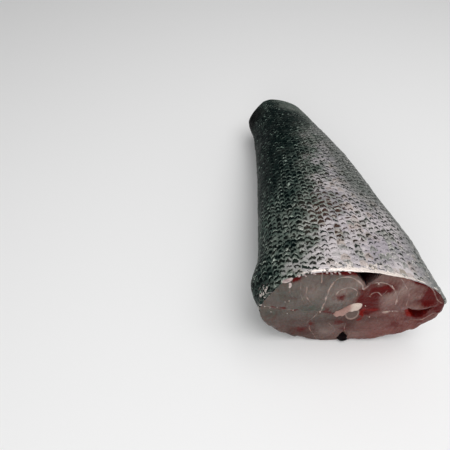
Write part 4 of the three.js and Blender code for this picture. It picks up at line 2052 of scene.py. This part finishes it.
@dataclass(frozen=True)
class Studio:
    """Pale floor, soft lights and the camera that looks down on the broad cut."""

    pitch: float = 50.0
    focal: float = 430.0
    picture: float = 450.0
    sensor: float = 36.0
    eye: tuple[float, float, float] = (-83.55, -140.45, 298.3)
    floor_tone: Colour = srgb(240, 240, 240)
    floor_half: float = 4.0
    room: float = 0.36
    aim: tuple[float, float, float] = (0.0, -0.03, 0.04)

    def floor(self) -> None:
        """Lay the floor, wide enough to fill the view."""
        half = self.floor_half
        corners = [(-half, -half, 0), (half, -half, 0), (half, half, 0), (-half, half, 0)]
        mesh = bpy.data.meshes.new("floor")
        mesh.from_pydata(corners, [], [(0, 1, 2, 3)])
        plane = bpy.data.objects.new("floor", mesh)
        bpy.context.scene.collection.objects.link(plane)
        material = bpy.data.materials.new("floor")
        material.use_nodes = True
        shader = material.node_tree.nodes["Principled BSDF"]
        shader.inputs["Base Color"].default_value = (*self.floor_tone, 1.0)
        shader.inputs["Roughness"].default_value = 0.9
        mesh.materials.append(material)

    def lamp(self, name: str, place: Sequence[float], size: float, power: float) -> None:
        """Hang a square soft light that faces the middle of the piece.

        Args:
            name: Its name.
            place: Where it hangs, in metres.
            size: Its width, in metres.
            power: Its power, in watts.
        """
        data = bpy.data.lights.new(name, "AREA")
        data.size = size
        data.energy = power
        lamp = bpy.data.objects.new(name, data)
        bpy.context.scene.collection.objects.link(lamp)
        lamp.location = place
        lamp.rotation_euler = self.facing(np.array(self.aim) - np.array(place))

    @staticmethod
    def facing(aim: Array) -> tuple[float, float, float]:
        """Euler angles that turn -Z along an aim."""
        flat = math.hypot(aim[0], aim[1])
        return math.atan2(flat, -aim[2]), 0.0, math.atan2(aim[1], aim[0]) - math.pi / 2

    def lights(self) -> None:
        """Hang the lights and set the pale surroundings."""
        self.lamp("key", place=(0.2, -0.2, 0.95), size=0.8, power=6.2)
        self.lamp("front", place=(-0.25, -0.95, 0.45), size=0.7, power=3.4)
        world = bpy.data.worlds.new("pale room")
        world.use_nodes = True
        world.node_tree.nodes["Background"].inputs["Color"].default_value = (1.0, 1.0, 1.0, 1.0)
        world.node_tree.nodes["Background"].inputs["Strength"].default_value = self.room
        bpy.context.scene.world = world
        bpy.context.scene.view_settings.view_transform = "Standard"

    def camera(self) -> None:
        """Set the camera up: it looks along +Y and down, with the piece to its right."""
        data = bpy.data.cameras.new("camera")
        data.sensor_width = self.sensor
        data.lens = self.focal / self.picture * self.sensor
        data.clip_start = 0.01
        camera = bpy.data.objects.new("camera", data)
        camera.location = PLACE(np.array(self.eye))
        camera.rotation_euler = (math.radians(90.0 - self.pitch), 0.0, 0.0)
        bpy.context.scene.collection.objects.link(camera)
        bpy.context.scene.camera = camera

    def build(self) -> None:
        """Set the whole studio up."""
        self.floor()
        self.lights()
        self.camera()


def main() -> None:
    """Build the piece and its studio, in order."""
    logging.basicConfig(level=logging.INFO, format="%(name)s %(message)s")
    groups = Groups()
    Skin().build(SkinFinish().build(groups))
    flesh = Flesh()
    flesh.build(FleshFinish().build(groups))
    bone, bone_finish = Bone(), BoneFinish().build(groups)
    bone.backbone(bone_finish)
    bone.spine_arch(bone_finish)
    scraps = Scraps(flesh)
    scraps.shreds(ScrapFinish(Scrap.SHRED).build(groups))
    scraps.fat_and_glints(ScrapFinish(Scrap.FLECK).build(groups))
    scraps.low_flap(ScrapFinish(Scrap.FLAP).build(groups))
    Studio().build()


if __name__ == "__main__":
    main()
